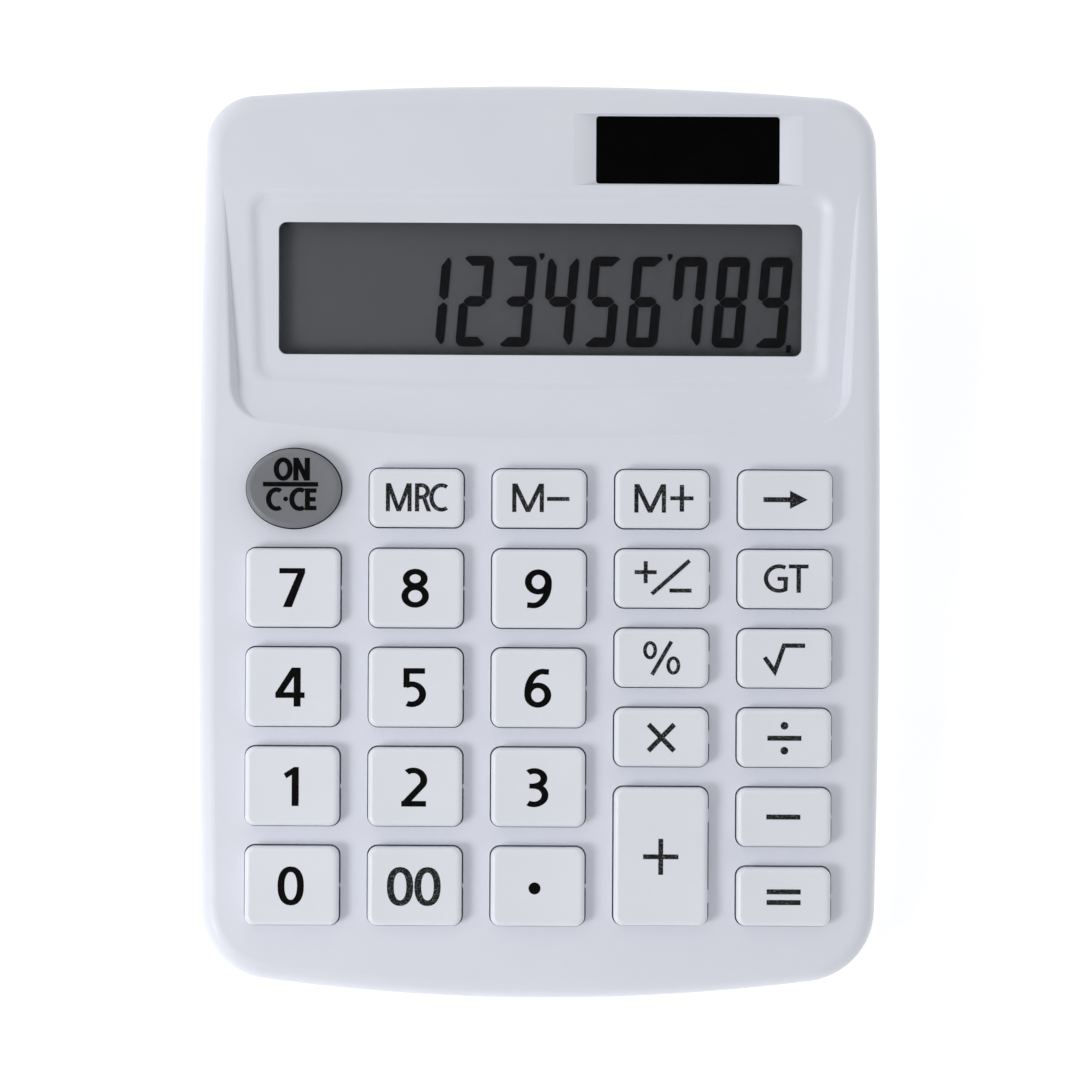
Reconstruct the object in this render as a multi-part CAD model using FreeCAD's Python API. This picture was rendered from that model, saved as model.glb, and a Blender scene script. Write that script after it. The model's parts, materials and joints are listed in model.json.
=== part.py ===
import FreeCAD, Part
import math
import os

from FreeCAD import Placement, Rotation, Vector

# A desk calculator, in millimetres: a wedge-shaped case in two shells, twenty-six sprung keys over
# a rubber dome mat and a circuit board, a liquid-crystal display in a dished surround, a solar
# panel, and a button cell under a sliding cover.
#
# Frame: the origin is on the table under the middle of the case, +X runs to the right, +Y to the
# back and +Z up. Whatever belongs to the sloping face is drawn flat first, with x across the face,
# y up the slope and z out of it, and then laid on the face with DECK.

# Case
WIDTH = 103.0
LENGTH = 136.4
DECK_TILT = 8.0
DECK_MID_HEIGHT = 21.9
SIDE_RADIUS = 2190.0
SIDE_BULGE_Y = -3.3
BACK_RADIUS = 595.0
FRONT_RADIUS = 320.0
BACK_CORNER = 7.6
FRONT_CORNER = 10.9
RIM_RADIUS = 2.6
WALL = 2.0
DECK_THICKNESS = 2.0

# Parting line, base and feet
PARTING_TILT = 3.8
PARTING_MID_HEIGHT = 11.6
SHELL_REVEAL = 0.3
TONGUE = 0.9
TONGUE_HEIGHT = 1.5
REBATE_ROOM = 0.2
FOOT_HEIGHT = 1.5
FOOT_RADIUS = 4.5
FOOT_SINK = 0.5
FOOT_PLACES = [(-39.0, -52.0), (39.0, -52.0), (-39.0, 51.0), (39.0, 51.0)]
TAPER_TOP = 6.0
TAPER_INSET = 2.6
BASE_EDGE_RADIUS = 1.2
FLOOR_THICKNESS = 1.8
LABEL_RECESS = (36.0, 18.0, 0.3)
LABEL_CORNER = 1.5
FOOT_EDGE_RADIUS = 0.5
FOOT_FIT = 0.1
SHELL_FIT = 0.1

# Keys: five columns, a grid of function rows and a wider grid of number rows
COLUMN_PITCH = 18.47
FUNCTION_TOP_V = 6.13
FUNCTION_PITCH = 11.93
NUMBER_TOP_V = -7.42
NUMBER_PITCH = 14.92
KEY_WIDTH = 14.1
FUNCTION_LENGTH = 8.75
NUMBER_LENGTH = 11.8
PLUS_LENGTH = 20.7
OVAL_SIZE = (14.2, 11.9)
OVAL_LIFT = 1.35
KEY_CORNER = 1.4
KEY_GAP = 0.21
KEY_HEIGHT = 2.5
KEY_TOP_RADIUS = 0.75
KEY_DISH_RADIUS = 150.0
KEY_DISH = 0.14
KEY_SKIN = 1.3
KEY_WALL = 1.1
KEY_FLANGE = 0.7
KEY_FLANGE_THICKNESS = 0.9
KEY_FLANGE_CLEARANCE = 0.05
PLUNGER_RADIUS = 1.8
NUB_DEPTH = 0.15
NUB_WIDTH = 0.6
BROAD_NUB_WIDTH = 2.0
BROAD_NUB_COLUMN = 3
LONG_KEY_NUB_OFFSET = 6.1

# Dome mat and circuit board, measured down from the face
DOME_TOP = -4.0
MAT_TOP = -6.0
MAT_BOTTOM = -6.8
DOME_FOOT_RADIUS = 3.4
DOME_HEAD_RADIUS = 2.3
DOME_SKIN = 0.5
DOME_ROOF = 0.9
PILL_RADIUS = 1.4
PILL_THICKNESS = 0.4
MAT_SIZE = (91.0, 72.2)
MAT_MIDDLE_V = -22.4
BOARD_THICKNESS = 1.2
BOARD_SIZE = (93.0, 75.8)
BOARD_MIDDLE_V = -20.9
BOARD_BOSS_RADIUS = 1.3
BOARD_SCREW_RADIUS = 0.65
BOARD_SCREW_HEAD = (1.6, 1.0)
BOARD_SCREW_LENGTH = 4.5
BOARD_HOLE_FIT = 0.15
MAT_HOLE_FIT = 0.25
PILOT_TIP = 0.3
BOSS_ROOT = 0.5
SCREW_FIT = 0.03
CHIP_PLACE = (-18.0, 6.0)
CHIP_BALL_RADIUS = 14.0
CHIP_BULGE = 1.6
CAPACITOR_PLACE = (12.0, 6.0)
CAPACITOR_RADIUS = 2.0
CAPACITOR_HEIGHT = 4.0
RESISTOR = (1.6, 0.8, 0.6, 8.0)
DIODE = (2.0, 1.25, 0.9, 4.0)
SMALL_PART_COUNT = 4
SMALL_PART_X = 20.0
SMALL_PART_PITCH = 3.0
BOARD_BOSS_PLACES = [
    (-1.5 * COLUMN_PITCH, NUMBER_TOP_V - 0.5 * NUMBER_PITCH),
    (-1.5 * COLUMN_PITCH, NUMBER_TOP_V - 2.5 * NUMBER_PITCH),
    (-0.5 * COLUMN_PITCH, NUMBER_TOP_V - 1.5 * NUMBER_PITCH),
    (0.5 * COLUMN_PITCH, NUMBER_TOP_V - 0.5 * NUMBER_PITCH),
    (0.5 * COLUMN_PITCH, NUMBER_TOP_V - 2.5 * NUMBER_PITCH),
    (1.5 * COLUMN_PITCH, FUNCTION_TOP_V - 1.5 * FUNCTION_PITCH),
    (1.5 * COLUMN_PITCH, FUNCTION_TOP_V - 4.5 * FUNCTION_PITCH),
]

# Display surround: a wide dish that deepens towards the keys, and a shallow step round the window
DISH_BACK_V = 52.6
DISH_DEEP_V = 21.8
DISH_FRONT_V = 15.2
DISH_DEPTH = 2.2
RAMP_FOOT_V = 22.9
RAMP_FOOT_DEPTH = 2.25
DISH_FRONT_RADIUS = 370.0
DISH_HALF_WIDTH_BACK = 47.8
DISH_HALF_WIDTH_FRONT = 46.3
DISH_CORNER = 5.3
DISH_LIP = 0.35
# wall sections of the dish and the step, as (depth or height, how far in from the nominal outline)
DISH_WALL_PROFILE = [(-1.0, -0.55), (0.0, -0.5), (0.05, -0.3), (0.16, -0.1), (0.4, 0.08), (3.0, 1.3)]
STEP_DEPTH = 0.8
STEP_BACK = 14.85
STEP_FRONT = -15.45
STEP_FRONT_RADIUS = 770.0
STEP_HALF_WIDTH_BACK = 44.2
STEP_HALF_WIDTH_FRONT = 43.3
STEP_CORNER = 3.0
STEP_CORNER_SHARE = 0.6
STEP_PROFILE = [(0.0, 2.0), (0.06, 1.6), (0.2, 1.2), (0.4, 0.85), (0.6, 0.5), (0.74, 0.1)]
STEP_PROFILE += [(0.8, -0.3), (1.4, -0.3)]
WINDOW_MIDDLE_V = 37.7
WINDOW_SIZE = (79.1, 19.95)
WINDOW_CORNER = 1.2
PAN_THICKNESS = 1.5
PAN_FRONT_V = 15.7
PAN_BACK_V = 52.5

# Display stack, measured down from the surround's floor
LENS_SIZE = (82.4, 23.4, 0.7)
GLASS_SIZE = (84.0, 24.2)
GLASS_THICKNESS = 0.55
BACK_GLASS_SHORTER = 1.8
REFLECTOR_THICKNESS = 0.1
HOLDER_SIZE = (89.6, 28.4, 3.6)
HOLDER_CLEARANCE = 0.2
HOLDER_LEDGE = 3.6
RIBBON_HALF_WIDTH = 35.0
RIBBON_THICKNESS = 0.2
RIBBON_FIT = 0.05
RIBBON_EDGE = 0.2
RIBBON_OVERHANG = 1.0
RIBBON_BEND = (1.5, 0.6)
RIBBON_TAIL = (0.3, 2.0)

# Solar panel
SOLAR_MIDDLE = (22.15, 58.8)
SOLAR_SIZE = (27.7, 10.2)
SOLAR_CHANNEL_LENGTH = 10.7
SOLAR_RAMP = 3.4
SOLAR_DEPTH = 0.9
SOLAR_RAMP_LIP = 6.0
SOLAR_EDGE_GAP = 0.1
SOLAR_CORNER = 0.5
SOLAR_FLANGE = (29.9, 12.2, 0.8)
SOLAR_CELL = (28.0, 11.0, 1.1)
SOLAR_RETAINER = (36.4, 8.0, 1.2)
SOLAR_SCREW_OFFSET = 16.6
SOLAR_SCREW_LENGTH = 2.5

# Case screws: (x, y, height at which the two shells' posts meet)
CASE_SCREWS = [(-27.7, -61.2, 7.0), (27.7, -61.2, 7.0), (-43.3, 57.6, 14.0), (43.3, 57.6, 14.0)]
POST_RADIUS = 3.2
BOSS_RADIUS = 2.6
CASE_SCREW_RADIUS = 1.2
CASE_SCREW_HEAD = (2.3, 1.5)
SCREW_HEAD_RADIUS = 0.3
CROSS_WIDTH = 0.5
CROSS_DEPTH_SHARE = 0.45
CASE_SCREW_LENGTH = 6.4
CASE_SCREW_SEAT = 3.4
COUNTERBORE_RADIUS = 2.5
CASE_SCREW_PASSAGE = 0.2
POST_ROOT = 0.5

# Battery bay in the base
COVER_WIDTH = 25.7
COVER_FRONT_Y = 38.2
COVER_TOP = 3.05
COVER_FIT = 0.15
TONGUE_RAIL = (0.9, 0.65)
RAIL_START = 1.5
RAIL_LOW = 2.1
BAY_SIDE_WALL = 3.0
BAY_FRONT_WALL = 2.0
BAY_LENGTH = 30.0
GROOVE_SIZE = (12.0, 0.8)
GROOVE_COUNT = 5
GROOVE_PITCH = 1.7
GROOVE_START = 4.0
GROOVE_DEPTH = 0.4
GROOVE_CORNER = 0.35
ARROW_START = 14.5
ARROW_SIZE = (6.0, 3.0)
ARROW_DEPTH = 0.3
CELL_RADIUS = 5.8
CELL_THICKNESS = 3.05
CELL_CAP_HEIGHT = 0.5
CELL_CAP_INSET = 1.0
CELL_Y = 50.0
CELL_LOW = 3.15
CUP_RADIUS = 6.1
CUP_WALL = 1.5
CUP_TOP = 8.6
CONTACT_THICKNESS = 0.3
CONTACT_WIDTH = 4.0
CONTACT_TAB_HEIGHT = 1.4
WIRE_RADIUS = 0.45

FAR = 200.0
OUT_OF_CASE = 60.0

X_AXIS = Vector(1, 0, 0)
Y_AXIS = Vector(0, 1, 0)
Z_AXIS = Vector(0, 0, 1)

DECK = Placement(Vector(0, 0, DECK_MID_HEIGHT), Rotation(X_AXIS, DECK_TILT))
PARTING = Placement(Vector(0, 0, PARTING_MID_HEIGHT), Rotation(X_AXIS, PARTING_TILT))
DISH_TILT = math.degrees(math.atan2(DISH_DEPTH, DISH_BACK_V - DISH_DEEP_V))
DISH_FLOOR = DECK * Placement(Vector(0, DISH_BACK_V, 0), Rotation(X_AXIS, DISH_TILT))
WINDOW_DOWN_SLOPE = (WINDOW_MIDDLE_V - DISH_BACK_V) / math.cos(math.radians(DISH_TILT))
WINDOW = DISH_FLOOR * Placement(Vector(0, WINDOW_DOWN_SLOPE, -STEP_DEPTH), Rotation())


# ---------------------------------------------------------------- small helpers


def placed(shape, place):
    """A copy of a shape drawn at the origin, laid in a frame of the case."""
    return shape.transformed(place.toMatrix(), True)


def slab(place, low, high):
    """Everything between two planes that lie parallel to a frame's own x-y plane."""
    block = Part.makeBox(2 * FAR, 2 * FAR, high - low, Vector(-FAR, -FAR, low))
    return placed(block, place)


def block(size, middle, low, high, corner=0.0):
    """An upright block, size (x, y) about middle (x, y), with rounded upright edges."""
    corner_point = Vector(middle[0] - size[0] / 2, middle[1] - size[1] / 2, low)
    made = Part.makeBox(size[0], size[1], high - low, corner_point)
    if corner:
        upright = [e for e in made.Edges if abs(e.tangentAt(e.FirstParameter).z) > 0.99]
        made = made.makeFillet(corner, upright)
    return made


def oval(size, middle, low, high):
    """An upright elliptical block."""
    rim = Part.Ellipse(Vector(middle[0], middle[1], low), size[0] / 2, size[1] / 2)
    return Part.Face(Part.Wire([rim.toShape()])).extrude(Vector(0, 0, high - low))


def rod(radius, x, y, low, high):
    """An upright round bar."""
    return Part.makeCylinder(radius, high - low, Vector(x, y, low))


def wire_run(points, radius):
    """A thin bent wire: straight bars with a ball at each bend."""
    pieces = []
    for start, end in zip(points, points[1:]):
        run = end - start
        pieces.append(Part.makeCylinder(radius, run.Length, start, run))
    pieces += [Part.makeSphere(radius, bend) for bend in points[1:-1]]
    return pieces[0].multiFuse(pieces[1:]).removeSplitter()


def bent_strip(path, width, thickness):
    """Sheet metal or film that follows a path of (x, z) points, width wide along y, about y = 0."""
    line = Part.makePolygon([Vector(x, -width / 2, z) for x, z in path])
    section = line.makeOffset2D(thickness, fill=True, openResult=True)
    return section.extrude(Vector(0, width, 0))


# ---------------------------------------------------------------- outline of the case


def corner_middle(end_middle_y, end_radius, corner, towards_back):
    """Where the arc of a right-hand corner is centred, so that it touches the side and the end."""
    side = Vector(WIDTH / 2 - SIDE_RADIUS, SIDE_BULGE_Y, 0)
    end = Vector(0, end_middle_y, 0)
    reach = SIDE_RADIUS - corner
    apart = end - side
    along = (reach**2 - (end_radius - corner) ** 2 + apart.Length**2) / (2 * apart.Length)
    across = math.sqrt(reach**2 - along**2)
    unit = Vector(apart).normalize()
    sign = 1 if towards_back else -1
    candidates = [side + unit * along + Vector(-unit.y, unit.x, 0) * (s * across) for s in (1, -1)]
    return max(candidates, key=lambda point: sign * point.y)


def corner_points(end_middle_y, end_radius, corner, towards_back, inset):
    """Start, middle and end of a right-hand corner arc, from the side round to the end."""
    middle = corner_middle(end_middle_y, end_radius, corner, towards_back)
    side = Vector(WIDTH / 2 - SIDE_RADIUS, SIDE_BULGE_Y, 0)
    from_side = (middle - side).normalize()
    from_end = (middle - Vector(0, end_middle_y, 0)).normalize()
    halfway = (from_side + from_end).normalize()
    return [middle + way * (corner - inset) for way in (from_side, halfway, from_end)]


def case_outline(inset, height):
    """The case seen from above, drawn inwards by inset, as a closed wire of eight arcs."""
    back = corner_points(LENGTH / 2 - BACK_RADIUS, BACK_RADIUS, BACK_CORNER, True, inset)
    front = corner_points(FRONT_RADIUS - LENGTH / 2, FRONT_RADIUS, FRONT_CORNER, False, inset)

    def mirrored(point):
        return Vector(-point.x, point.y, 0)

    side_middle = Vector(WIDTH / 2 - inset, SIDE_BULGE_Y, 0)
    back_middle = Vector(0, LENGTH / 2 - inset, 0)
    front_middle = Vector(0, inset - LENGTH / 2, 0)
    arcs = [
        (front[0], side_middle, back[0]),
        (back[0], back[1], back[2]),
        (back[2], back_middle, mirrored(back[2])),
        (mirrored(back[2]), mirrored(back[1]), mirrored(back[0])),
        (mirrored(back[0]), mirrored(side_middle), mirrored(front[0])),
        (mirrored(front[0]), mirrored(front[1]), mirrored(front[2])),
        (mirrored(front[2]), front_middle, front[2]),
        (front[2], front[1], front[0]),
    ]
    lift = Vector(0, 0, height)
    return Part.Wire([Part.Arc(a + lift, b + lift, c + lift).toShape() for a, b, c in arcs])


def case_prism(inset, low, high):
    """The case's outline as an upright block."""
    return Part.Face(case_outline(inset, low)).extrude(Vector(0, 0, high - low))


def base_form(inset):
    """The outside of the base: upright walls over a tapered foot."""
    top = OUT_OF_CASE
    taper = Part.makeLoft(
        [case_outline(inset + TAPER_INSET, FOOT_HEIGHT), case_outline(inset, TAPER_TOP)], True, True
    )
    return taper.fuse(case_prism(inset, TAPER_TOP, top)).removeSplitter()


# ---------------------------------------------------------------- keys


def key_list():
    """Every key as (name, shape kind, (x, y) on the face, (width, length))."""
    columns = [(n - 2) * COLUMN_PITCH for n in range(5)]
    rows = [FUNCTION_TOP_V - n * FUNCTION_PITCH for n in range(6)]
    function_size = (KEY_WIDTH, FUNCTION_LENGTH)
    number_size = (KEY_WIDTH, NUMBER_LENGTH)
    keys = [("key_on_clear", "oval", (columns[0], rows[0] + OVAL_LIFT), OVAL_SIZE)]
    for name, column in (("key_mrc", 1), ("key_m_minus", 2), ("key_m_plus", 3)):
        keys.append((name, "block", (columns[column], rows[0]), function_size))
    for name, row in (("key_sign", 1), ("key_percent", 2), ("key_multiply", 3)):
        keys.append((name, "block", (columns[3], rows[row]), function_size))
    last_column = ("back_step", "grand_total", "square_root", "divide", "minus", "equals")
    for row, name in enumerate(last_column):
        keys.append(("key_" + name, "block", (columns[4], rows[row]), function_size))
    plus_v = rows[5] - FUNCTION_LENGTH / 2 + PLUS_LENGTH / 2
    keys.append(("key_plus", "block", (columns[3], plus_v), (KEY_WIDTH, PLUS_LENGTH)))
    numbers = [("7", "8", "9"), ("4", "5", "6"), ("1", "2", "3"), ("0", "00", "point")]
    for row, names in enumerate(numbers):
        for column, name in enumerate(names):
            place = (columns[column], NUMBER_TOP_V - row * NUMBER_PITCH)
            keys.append(("key_" + name, "block", place, number_size))
    return keys


def key_plan(kind, place, size, grow, low, high):
    """The plan of a key, grown all round by grow, as an upright block."""
    grown = (size[0] + 2 * grow, size[1] + 2 * grow)
    if kind == "oval":
        return oval(grown, place, low, high)
    return block(grown, place, low, high, KEY_CORNER + grow)


def make_key(kind, place, size):
    """A hollow moulded cap with a faintly dished top, a catch flange and a plunger."""
    flange_top = -DECK_THICKNESS - KEY_FLANGE_CLEARANCE
    flange_low = flange_top - KEY_FLANGE_THICKNESS
    roof = KEY_HEIGHT - KEY_SKIN
    cap = key_plan(kind, place, size, 0.0, flange_low, KEY_HEIGHT + 1)
    dish_middle = Vector(place[0], place[1], KEY_HEIGHT - KEY_DISH + KEY_DISH_RADIUS)
    cap = cap.cut(Part.makeSphere(KEY_DISH_RADIUS, dish_middle))
    top_edges = [e for e in cap.Edges if e.BoundBox.ZMin > KEY_HEIGHT - KEY_TOP_RADIUS]
    cap = cap.makeFillet(KEY_TOP_RADIUS, top_edges)
    flange = key_plan(kind, place, size, KEY_FLANGE, flange_low, flange_top)
    hollow = key_plan(kind, place, size, -KEY_WALL, flange_low - 1, roof)
    plunger = rod(PLUNGER_RADIUS, place[0], place[1], DOME_TOP, roof)
    return placed(cap.fuse(flange).cut(hollow).fuse(plunger), DECK)


def key_hole(kind, place, size):
    """What the face loses for a key: a clearance hole, less the nubs on its right that guide the cap."""
    hole = key_plan(kind, place, size, KEY_GAP, -2 * DECK_THICKNESS, DECK_THICKNESS)
    if kind == "oval":
        return hole
    in_broad_column = abs(place[0] - (BROAD_NUB_COLUMN - 2) * COLUMN_PITCH) < 1
    width = BROAD_NUB_WIDTH if in_broad_column and place[1] < FUNCTION_TOP_V else NUB_WIDTH
    is_long = size[1] > size[0]
    middle_x = place[0] + size[0] / 2 + KEY_GAP - NUB_DEPTH / 2
    for step in (-LONG_KEY_NUB_OFFSET, LONG_KEY_NUB_OFFSET) if is_long else (0.0,):
        hole = hole.cut(block((NUB_DEPTH, width), (middle_x, place[1] + step), -FAR, FAR))
    return hole


# ---------------------------------------------------------------- display surround


def tapered_outline(half_back, half_front, back, front, front_radius, corner, height):
    """A wire with a straight back, leaning sides, a bowed front and rounded corners."""
    drop = front_radius - math.sqrt(front_radius**2 - half_front**2)
    left_front = Vector(-half_front, front + drop, 0)
    right_front = Vector(half_front, front + drop, 0)
    left_back = Vector(-half_back, back, 0)
    right_back = Vector(half_back, back, 0)
    edges = [
        Part.makeLine(right_front, right_back),
        Part.makeLine(right_back, left_back),
        Part.makeLine(left_back, left_front),
        Part.Arc(left_front, Vector(0, front, 0), right_front).toShape(),
    ]
    solid = Part.Face(Part.Wire(edges)).extrude(Z_AXIS)
    upright = [e for e in solid.Edges if abs(e.tangentAt(e.FirstParameter).z) > 0.99]
    rounded = solid.makeFillet(corner, upright)
    lowest = min(rounded.Faces, key=lambda face: face.CenterOfMass.z)
    wire = lowest.OuterWire.copy()
    wire.translate(Vector(0, 0, height))
    return wire


def dish_cutter():
    """The wide dish: a tilted floor, sloping sides and a hollow ramp that rises to the keys."""
    outlines = []
    for depth, inset in DISH_WALL_PROFILE:
        outlines.append(
            tapered_outline(
                DISH_HALF_WIDTH_BACK - inset,
                DISH_HALF_WIDTH_FRONT - inset,
                DISH_BACK_V + BACK_CORNER,
                DISH_FRONT_V + DISH_LIP + inset,
                DISH_FRONT_RADIUS,
                DISH_CORNER - inset,
                -depth,
            )
        )
    sides = Part.makeLoft(outlines, True, True)
    # the ramp is an arc, level at its foot, that sweeps round the far middle of the bowed front
    middle_v = DISH_FRONT_V + DISH_FRONT_RADIUS
    run = RAMP_FOOT_V - DISH_FRONT_V
    slope = 2 * math.atan2(RAMP_FOOT_DEPTH, run)
    radius = run / math.sin(slope)
    foot = Vector(0, RAMP_FOOT_V, -RAMP_FOOT_DEPTH)
    half = slope / 2
    belly = foot + Vector(0, -radius * math.sin(half), radius * (1 - math.cos(half)))
    head = Vector(0, DISH_FRONT_V, 0)
    over = 2 * DISH_DEPTH
    back_v = DISH_BACK_V + 2 * BACK_CORNER
    profile = Part.Wire(
        [
            Part.Arc(foot, belly, head).toShape(),
            Part.makeLine(head, Vector(0, DISH_FRONT_V, over)),
            Part.makeLine(Vector(0, DISH_FRONT_V, over), Vector(0, back_v, over)),
            Part.makeLine(Vector(0, back_v, over), Vector(0, back_v, -RAMP_FOOT_DEPTH)),
            Part.makeLine(Vector(0, back_v, -RAMP_FOOT_DEPTH), foot),
        ]
    )
    half_sweep = 12.0
    swept = Part.Face(profile)
    swept.rotate(Vector(0, middle_v, 0), Z_AXIS, -half_sweep)
    bowl = swept.revolve(Vector(0, middle_v, 0), Z_AXIS, 2 * half_sweep)
    return placed(sides.common(bowl), DECK).common(slab(DISH_FLOOR, 0, OUT_OF_CASE))


def step_cutter():
    """The shallow step round the window, with soft shoulders, drawn as stacked outlines."""
    outlines = []
    for height, inset in STEP_PROFILE:
        outlines.append(
            tapered_outline(
                STEP_HALF_WIDTH_BACK - inset,
                STEP_HALF_WIDTH_FRONT - inset,
                STEP_BACK - inset,
                STEP_FRONT + inset,
                STEP_FRONT_RADIUS,
                STEP_CORNER - inset * STEP_CORNER_SHARE,
                height,
            )
        )
    return placed(Part.makeLoft(outlines, True, True), WINDOW)


def window_hole():
    """The opening that the display is read through."""
    hole = block(WINDOW_SIZE, (0, 0), -2 * PAN_THICKNESS, STEP_DEPTH, WINDOW_CORNER)
    return placed(hole, WINDOW)


def display_pan(cavity):
    """The thicker floor that carries the dish inside the case."""
    size = (2 * FAR, PAN_BACK_V - PAN_FRONT_V)
    strip = block(size, (0, (PAN_BACK_V + PAN_FRONT_V) / 2), -OUT_OF_CASE, OUT_OF_CASE)
    return cavity.common(placed(strip, DECK)).common(slab(WINDOW, -PAN_THICKNESS, OUT_OF_CASE))


# ---------------------------------------------------------------- solar panel


def solar_ramp(side):
    """One end ramp's profile: an arc, steep at the panel, that comes up to the face at a shallow angle."""
    half = SOLAR_SIZE[0] / 2
    chord = math.atan2(SOLAR_DEPTH, SOLAR_RAMP)
    lip = math.radians(SOLAR_RAMP_LIP)
    radius = math.hypot(SOLAR_DEPTH, SOLAR_RAMP) / (2 * math.sin(chord - lip))
    outer = Vector(half + SOLAR_RAMP, 0, 0)
    middle = Vector(
        outer.x + radius * (math.sin(lip) - math.sin(chord)),
        0,
        radius * (math.cos(chord) - math.cos(lip)),
    )
    inner = Vector(half, 0, -SOLAR_DEPTH)
    above = outer + Vector(math.cos(lip), 0, math.sin(lip))
    inner, middle, outer, above = [Vector(side * p.x, 0, p.z) for p in (inner, middle, outer, above)]
    return inner, Part.Arc(inner, middle, outer).toShape(), Part.makeLine(outer, above), above


def solar_cutter():
    """A shallow channel with a curved ramp at each end, and the panel's opening."""
    left_foot, left_arc, left_rise, left_top = solar_ramp(-1)
    right_foot, right_arc, right_rise, right_top = solar_ramp(1)
    floor = Part.makeLine(left_foot, right_foot)
    lid = Part.makeLine(right_top, left_top)
    profile = Part.Wire([floor, right_arc, right_rise, lid, left_rise, left_arc])
    channel = Part.Face(profile).extrude(Y_AXIS * SOLAR_CHANNEL_LENGTH)
    channel.translate(Vector(SOLAR_MIDDLE[0], SOLAR_MIDDLE[1] - SOLAR_CHANNEL_LENGTH / 2, 0))
    opening = block(SOLAR_SIZE, SOLAR_MIDDLE, -2 * DECK_THICKNESS, 0, SOLAR_CORNER)
    return placed(channel.fuse(opening), DECK)


def solar_boss_places():
    """Where the solar retainer is screwed down."""
    return [(SOLAR_MIDDLE[0] + side * SOLAR_SCREW_OFFSET, SOLAR_MIDDLE[1]) for side in (-1, 1)]


def solar_levels():
    """Heights on the face of the window's flange, the cell and the retainer: top to bottom."""
    flange_low = -DECK_THICKNESS - SOLAR_FLANGE[2]
    cell_low = flange_low - SOLAR_CELL[2]
    return flange_low, cell_low, cell_low - SOLAR_RETAINER[2]


def make_solar_parts():
    """The dark window, the cell behind it and the bar that holds them in."""
    flange_low, cell_low, retainer_low = solar_levels()
    face_size = [length - 2 * SOLAR_EDGE_GAP for length in SOLAR_SIZE]
    face_top = -SOLAR_DEPTH - SOLAR_EDGE_GAP
    face = block(face_size, SOLAR_MIDDLE, -DECK_THICKNESS, face_top, SOLAR_CORNER - SOLAR_EDGE_GAP)
    flange = block(SOLAR_FLANGE[:2], SOLAR_MIDDLE, flange_low, -DECK_THICKNESS, SOLAR_CORNER)
    cell = block(SOLAR_CELL[:2], SOLAR_MIDDLE, cell_low, flange_low)
    retainer = block(SOLAR_RETAINER[:2], SOLAR_MIDDLE, retainer_low, cell_low, 1.5)
    for x, y in solar_boss_places():
        retainer = retainer.cut(rod(BOARD_SCREW_RADIUS + SCREW_FIT, x, y, retainer_low, cell_low))
    return {
        "solar_window": placed(face.fuse(flange).removeSplitter(), DECK),
        "solar_cell": placed(cell, DECK),
        "solar_retainer": placed(retainer, DECK),
    }


# ---------------------------------------------------------------- top shell


def outer_top():
    """The outside of the top shell: upright walls under the sloping face, with a rounded rim."""
    form = case_prism(0.0, 0.0, OUT_OF_CASE).common(slab(DECK, -OUT_OF_CASE, 0))
    flat = DECK.inverse()

    def on_face(edge):
        return all(abs(flat.multVec(point).z) < 1e-3 for point in edge.discretize(5))

    form = form.makeFillet(RIM_RADIUS, [e for e in form.Edges if on_face(e)])
    return form.common(slab(PARTING, 0, OUT_OF_CASE))


def board_boss(x, y, low):
    """A small boss for a board screw, hanging from the face."""
    return rod(BOARD_BOSS_RADIUS, x, y, low, -DECK_THICKNESS + BOSS_ROOT)


def board_pilot(x, y, low):
    """The hole up the middle of a board boss."""
    return rod(BOARD_SCREW_RADIUS + SCREW_FIT, x, y, low - 1, -DECK_THICKNESS - PILOT_TIP)


def make_top_shell(keys):
    """The top shell with its display surround, holes, bosses and the rebate for the base."""
    cavity = case_prism(WALL, 0.0, OUT_OF_CASE).common(slab(DECK, -OUT_OF_CASE, -DECK_THICKNESS))
    shell = outer_top().cut(cavity)
    rebate = case_prism(WALL - TONGUE, 0.0, OUT_OF_CASE)
    shell = shell.cut(rebate.common(slab(PARTING, -1.0, TONGUE_HEIGHT + REBATE_ROOM)))
    additions = [display_pan(cavity)]
    for x, y, joint_height in CASE_SCREWS:
        boss = rod(BOSS_RADIUS, x, y, joint_height, OUT_OF_CASE)
        additions.append(boss.common(slab(DECK, -OUT_OF_CASE, -DECK_THICKNESS / 2)))
    retainer_top = solar_levels()[1]
    additions += [placed(board_boss(x, y, MAT_BOTTOM), DECK) for x, y in BOARD_BOSS_PLACES]
    additions += [placed(board_boss(x, y, retainer_top), DECK) for x, y in solar_boss_places()]
    shell = shell.multiFuse(additions)
    removals = [placed(key_hole(kind, place, size), DECK) for _, kind, place, size in keys]
    removals += [dish_cutter(), step_cutter(), window_hole(), solar_cutter()]
    removals += [placed(board_pilot(x, y, MAT_BOTTOM), DECK) for x, y in BOARD_BOSS_PLACES]
    removals += [placed(board_pilot(x, y, retainer_top), DECK) for x, y in solar_boss_places()]
    for x, y, joint_height in CASE_SCREWS:
        depth = CASE_SCREW_LENGTH - CASE_SCREW_SEAT + PILOT_TIP
        removals.append(rod(CASE_SCREW_RADIUS + SCREW_FIT, x, y, joint_height - 1, joint_height + depth))
    for tool in removals:
        shell = shell.cut(tool)
    return shell


# ---------------------------------------------------------------- base


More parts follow.
